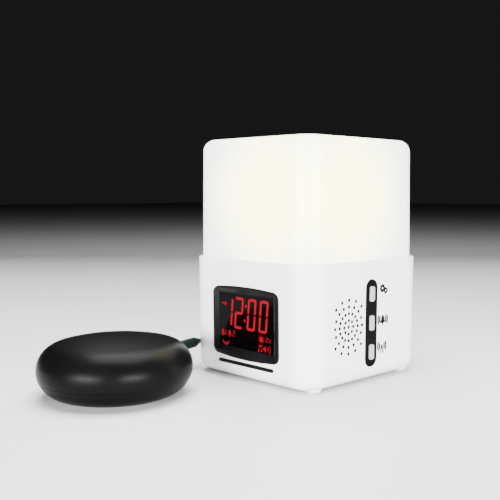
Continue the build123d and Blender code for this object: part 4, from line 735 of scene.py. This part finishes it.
def make_board_finish():
    """Green board with lighter copper traces under the lacquer, in patches."""
    mat, shader, tree = new_material("circuit_board", LACQUER, 0.35)
    place = place_of(tree)
    brick = add_node(tree, "ShaderNodeTexBrick", **{"Scale": TRACE_SCALE, "Mortar Size": TRACE_WIDTH})
    tree.links.new(place, brick.inputs["Vector"])
    patches = spread(tree, noise_of(tree, place, TRACE_PATCH), 0, 1, TRACE_START, TRACE_END)
    traces = math_of(tree, "MULTIPLY", brick.outputs["Fac"], patches)
    tree.links.new(mix_colours(tree, traces, LACQUER, COPPER), shader.inputs["Base Color"])
    add_bump(tree, shader, traces, TRACE_DEPTH)
    return mat


# The shade's painted glow: each side's patch lies so far aside of its middle, at one height, and fades
# between two distances. Its light, and its plastic's colour where the glow is painted, have one colour at
# the edges and one at the patch.
GLOW_ASIDE = 17.0
GLOW_HEIGHT = 115.8
GLOW_CORE, GLOW_EDGE = 14.0, 66.0
GLOW_DIM, GLOW_BRIGHT = 0.8, 5.5
EDGE_PLASTIC, PAINTED_GLOW_PLASTIC = (0.80, 0.80, 0.79), (0.86, 0.86, 0.6)
EDGE_LIGHT, PATCH_LIGHT = (1.0, 0.98, 0.93), (1.0, 0.94, 0.18)
SHADE_ROUGHNESS = 0.38
SHADE_GLOSS, SHADE_MATT = 0.34, 0.42
SHADE_GRAIN, SHADE_DEPTH = 6.0, 0.002


def make_shade_finish():
    """Frosted plastic with a painted glow: one soft warm patch in each side, cooler and dimmer towards the
    edges.
    """
    mat, shader, tree = new_material("frosted_shade", EDGE_PLASTIC, SHADE_ROUGHNESS)
    place = place_of(tree)
    strongest = None
    for x, y in ((GLOW_ASIDE, -SHADE_HALF), (SHADE_HALF, -GLOW_ASIDE), (-GLOW_ASIDE, SHADE_HALF),
                 (-SHADE_HALF, GLOW_ASIDE)):
        reach = vector_of(tree, "DISTANCE", place, (x, y, GLOW_HEIGHT), "Value")
        near = spread(tree, reach, 1, 0, GLOW_CORE, GLOW_EDGE)
        strongest = near if strongest is None else math_of(tree, "MAXIMUM", strongest, near)
    glow = spread(tree, strongest, 0, 1, 0, 1, "SMOOTHERSTEP")
    tree.links.new(mix_colours(tree, glow, EDGE_LIGHT, PATCH_LIGHT), shader.inputs["Emission Color"])
    # Painted glow: the plastic's own colour turns warmer under each patch
    tree.links.new(mix_colours(tree, glow, EDGE_PLASTIC, PAINTED_GLOW_PLASTIC), shader.inputs["Base Color"])
    tree.links.new(spread(tree, glow, GLOW_DIM, GLOW_BRIGHT, 0, 1), shader.inputs["Emission Strength"])
    fine = noise_of(tree, place, SHADE_GRAIN, FINE_DETAIL)
    tree.links.new(spread(tree, fine, SHADE_GLOSS, SHADE_MATT), shader.inputs["Roughness"])
    add_bump(tree, shader, fine, SHADE_DEPTH)
    return mat


SCREEN_BLACK = (0.0008, 0.0006, 0.0007)
SCREEN_ROUGHNESS = 0.12
SCREEN_SPECULAR = 0.04
SCREEN_PATCH = 0.2
SCREEN_GLOSS, SCREEN_MATT = 0.07, 0.13
# Painted glow of the digits' red light on the glass: its colour, its strength, its middle, how the distance
# from there counts, and where it fades
DIGIT_GLOW_COLOUR = (1.0, 0.03, 0.05)
DIGIT_GLOW_STRENGTH = 0.006
DIGIT_GLOW_MIDDLE = (2, -GROUND_HALF, 41.8)
DIGIT_GLOW_WEIGHTS = (0.6, 0.0, 1.0)
DIGIT_GLOW_CORE, DIGIT_GLOW_EDGE = 4, 17


def make_screen_finish():
    """Dark glass with a faint painted glow of red light behind the digits."""
    mat, shader, tree = new_material("display_glass", SCREEN_BLACK, SCREEN_ROUGHNESS)
    place = place_of(tree)
    spot = vector_of(tree, "SUBTRACT", place, DIGIT_GLOW_MIDDLE)
    flat = vector_of(tree, "MULTIPLY", spot, DIGIT_GLOW_WEIGHTS)
    reach = vector_of(tree, "DISTANCE", flat, (0, 0, 0), "Value")
    # Painted glow: red light strongest behind the digits, fading outward
    tree.links.new(spread(tree, reach, DIGIT_GLOW_STRENGTH, 0.0, DIGIT_GLOW_CORE, DIGIT_GLOW_EDGE),
                   shader.inputs["Emission Strength"])
    shader.inputs["Emission Color"].default_value = (*DIGIT_GLOW_COLOUR, 1)
    shader.inputs["Specular IOR Level"].default_value = SCREEN_SPECULAR
    waves = noise_of(tree, place, SCREEN_PATCH, SLOW_DETAIL)
    tree.links.new(spread(tree, waves, SCREEN_GLOSS, SCREEN_MATT), shader.inputs["Roughness"])
    return mat


make_digits(digit_finish)
make_signs(sign_finish)
make_prints(print_finish)

dress(["front_housing", "rear_housing", "battery_box", "battery_door"], make_housing_finish())
dress(["light_shade"], make_shade_finish())
dress(["display_bezel", "snooze_bar"], bezel_finish)
dress(["lcd_panel"], make_screen_finish())
dress(["key_strip"], strip_finish)
dress(["setting_key", "alarm_key", "radio_key"], key_finish)
dress(["feet"], foot_finish)
dress(["lamp_tray", "lamp_post", "backlight", "motor_clamp"], white_finish)
dress(["volume_knob", "mode_slider"], knob_finish)
dress(["pad_top_shell", "pad_base_shell"], make_pad_finish())
dress(["housing_screws", "tray_screws", "post_screws", "display_screws", "switch_board_screws",
       "main_board_screws", "clamp_screws", "pad_screws", "speaker_frame", "speaker_magnet", "mode_switch",
       "volume_control", "battery_contacts", "motor_case", "motor_shaft", "eccentric_weight"], steel_finish)
dress(["snooze_switch", "key_switches", "board_chips", "power_jack", "shaker_jack"], dark_finish)
dress(["led_boards", "display_board", "switch_board", "main_board"], make_board_finish())
dress(["led_chips"], light_finish)
dress(["speaker_cone"], paper_finish)
dress(["speaker_gasket"], foam_finish)
dress(["capacitors", "batteries"], capacitor_finish)
dress(["pad_strain_relief", "shaker_plug", "plug_relief"], cord_finish)
dress(["cord_tie"], tie_finish)


# ---- Floor and light, in metres and watts

FLOOR_HALF = 6.0
FLOOR_DROP = 0.0002
FLOOR_NEAR, FLOOR_SHADED_FAR = (0.66, 0.66, 0.67), (0.12, 0.12, 0.122)
FLOOR_PATCH, FLOOR_GLOSS, FLOOR_MATT = 0.01, 0.5, 0.6
# Painted shade darkens the floor behind the clock, along a direction and between two distances in
# millimetres
FLOOR_AWAY = (-0.707, 0.707, 0)
FLOOR_FADE_START, FLOOR_FADE_END = -50, 900

WORLD_COLOUR = (0.82, 0.83, 0.85)
WORLD_STRENGTH = 0.015

# Name, place, target, width and height, power
LIGHTS = (
    ("key", (0.3, -1.37, 0.2), (0, 0, 0.06), (0.75, 0.3), 62),
    ("fill", (1.37, -0.3, 0.2), (0, 0, 0.06), (0.75, 0.3), 60),
    ("top", (-0.1, 0.1, 1.5), (0, 0, 0.05), (1.3, 1.3), 105),
    ("back", (-0.6, 0.6, 1.0), (-0.05, -0.05, 0.05), (1.2, 0.4), 6),
)


def make_floor():
    """A pale floor just under the feet, with painted shade that darkens it behind the clock."""
    bm = bmesh.new()
    bmesh.ops.create_grid(bm, x_segments=1, y_segments=1, size=FLOOR_HALF)
    bmesh.ops.translate(bm, vec=(0, 0, -FLOOR_DROP), verts=bm.verts)
    floor = bpy.data.objects.new("floor", finish_mesh("floor", bm))
    scene.collection.objects.link(floor)
    mat, shader, tree = new_material("floor_grey", FLOOR_NEAR, FLOOR_GLOSS)
    place = place_of(tree)
    tree.links.new(spread(tree, noise_of(tree, place, FLOOR_PATCH), FLOOR_GLOSS, FLOOR_MATT),
                   shader.inputs["Roughness"])
    away = vector_of(tree, "DOT_PRODUCT", place, FLOOR_AWAY, "Value")
    # Painted shade: the floor's colour darkens away behind the clock
    tree.links.new(mix_colours(tree, spread(tree, away, 0, 1, FLOOR_FADE_START, FLOOR_FADE_END),
                               FLOOR_NEAR, FLOOR_SHADED_FAR), shader.inputs["Base Color"])
    floor.data.materials.append(mat)


def make_world():
    """A dim, even surround."""
    world = bpy.data.worlds.new("world")
    world.use_nodes = True
    background = world.node_tree.nodes["Background"]
    background.inputs["Color"].default_value = (*WORLD_COLOUR, 1)
    background.inputs["Strength"].default_value = WORLD_STRENGTH
    scene.world = world


def add_light(name, place, target, size, power):
    """A rectangular light that faces its target."""
    data = bpy.data.lights.new(name, "AREA")
    data.shape = "RECTANGLE"
    data.size, data.size_y = size
    data.energy = power
    light = bpy.data.objects.new(name, data)
    light.location = place
    light.rotation_mode = "QUATERNION"
    light.rotation_quaternion = (Vector(place) - Vector(target)).to_track_quat("Z", "Y")
    scene.collection.objects.link(light)


make_floor()
make_world()
for light in LIGHTS:
    add_light(*light)
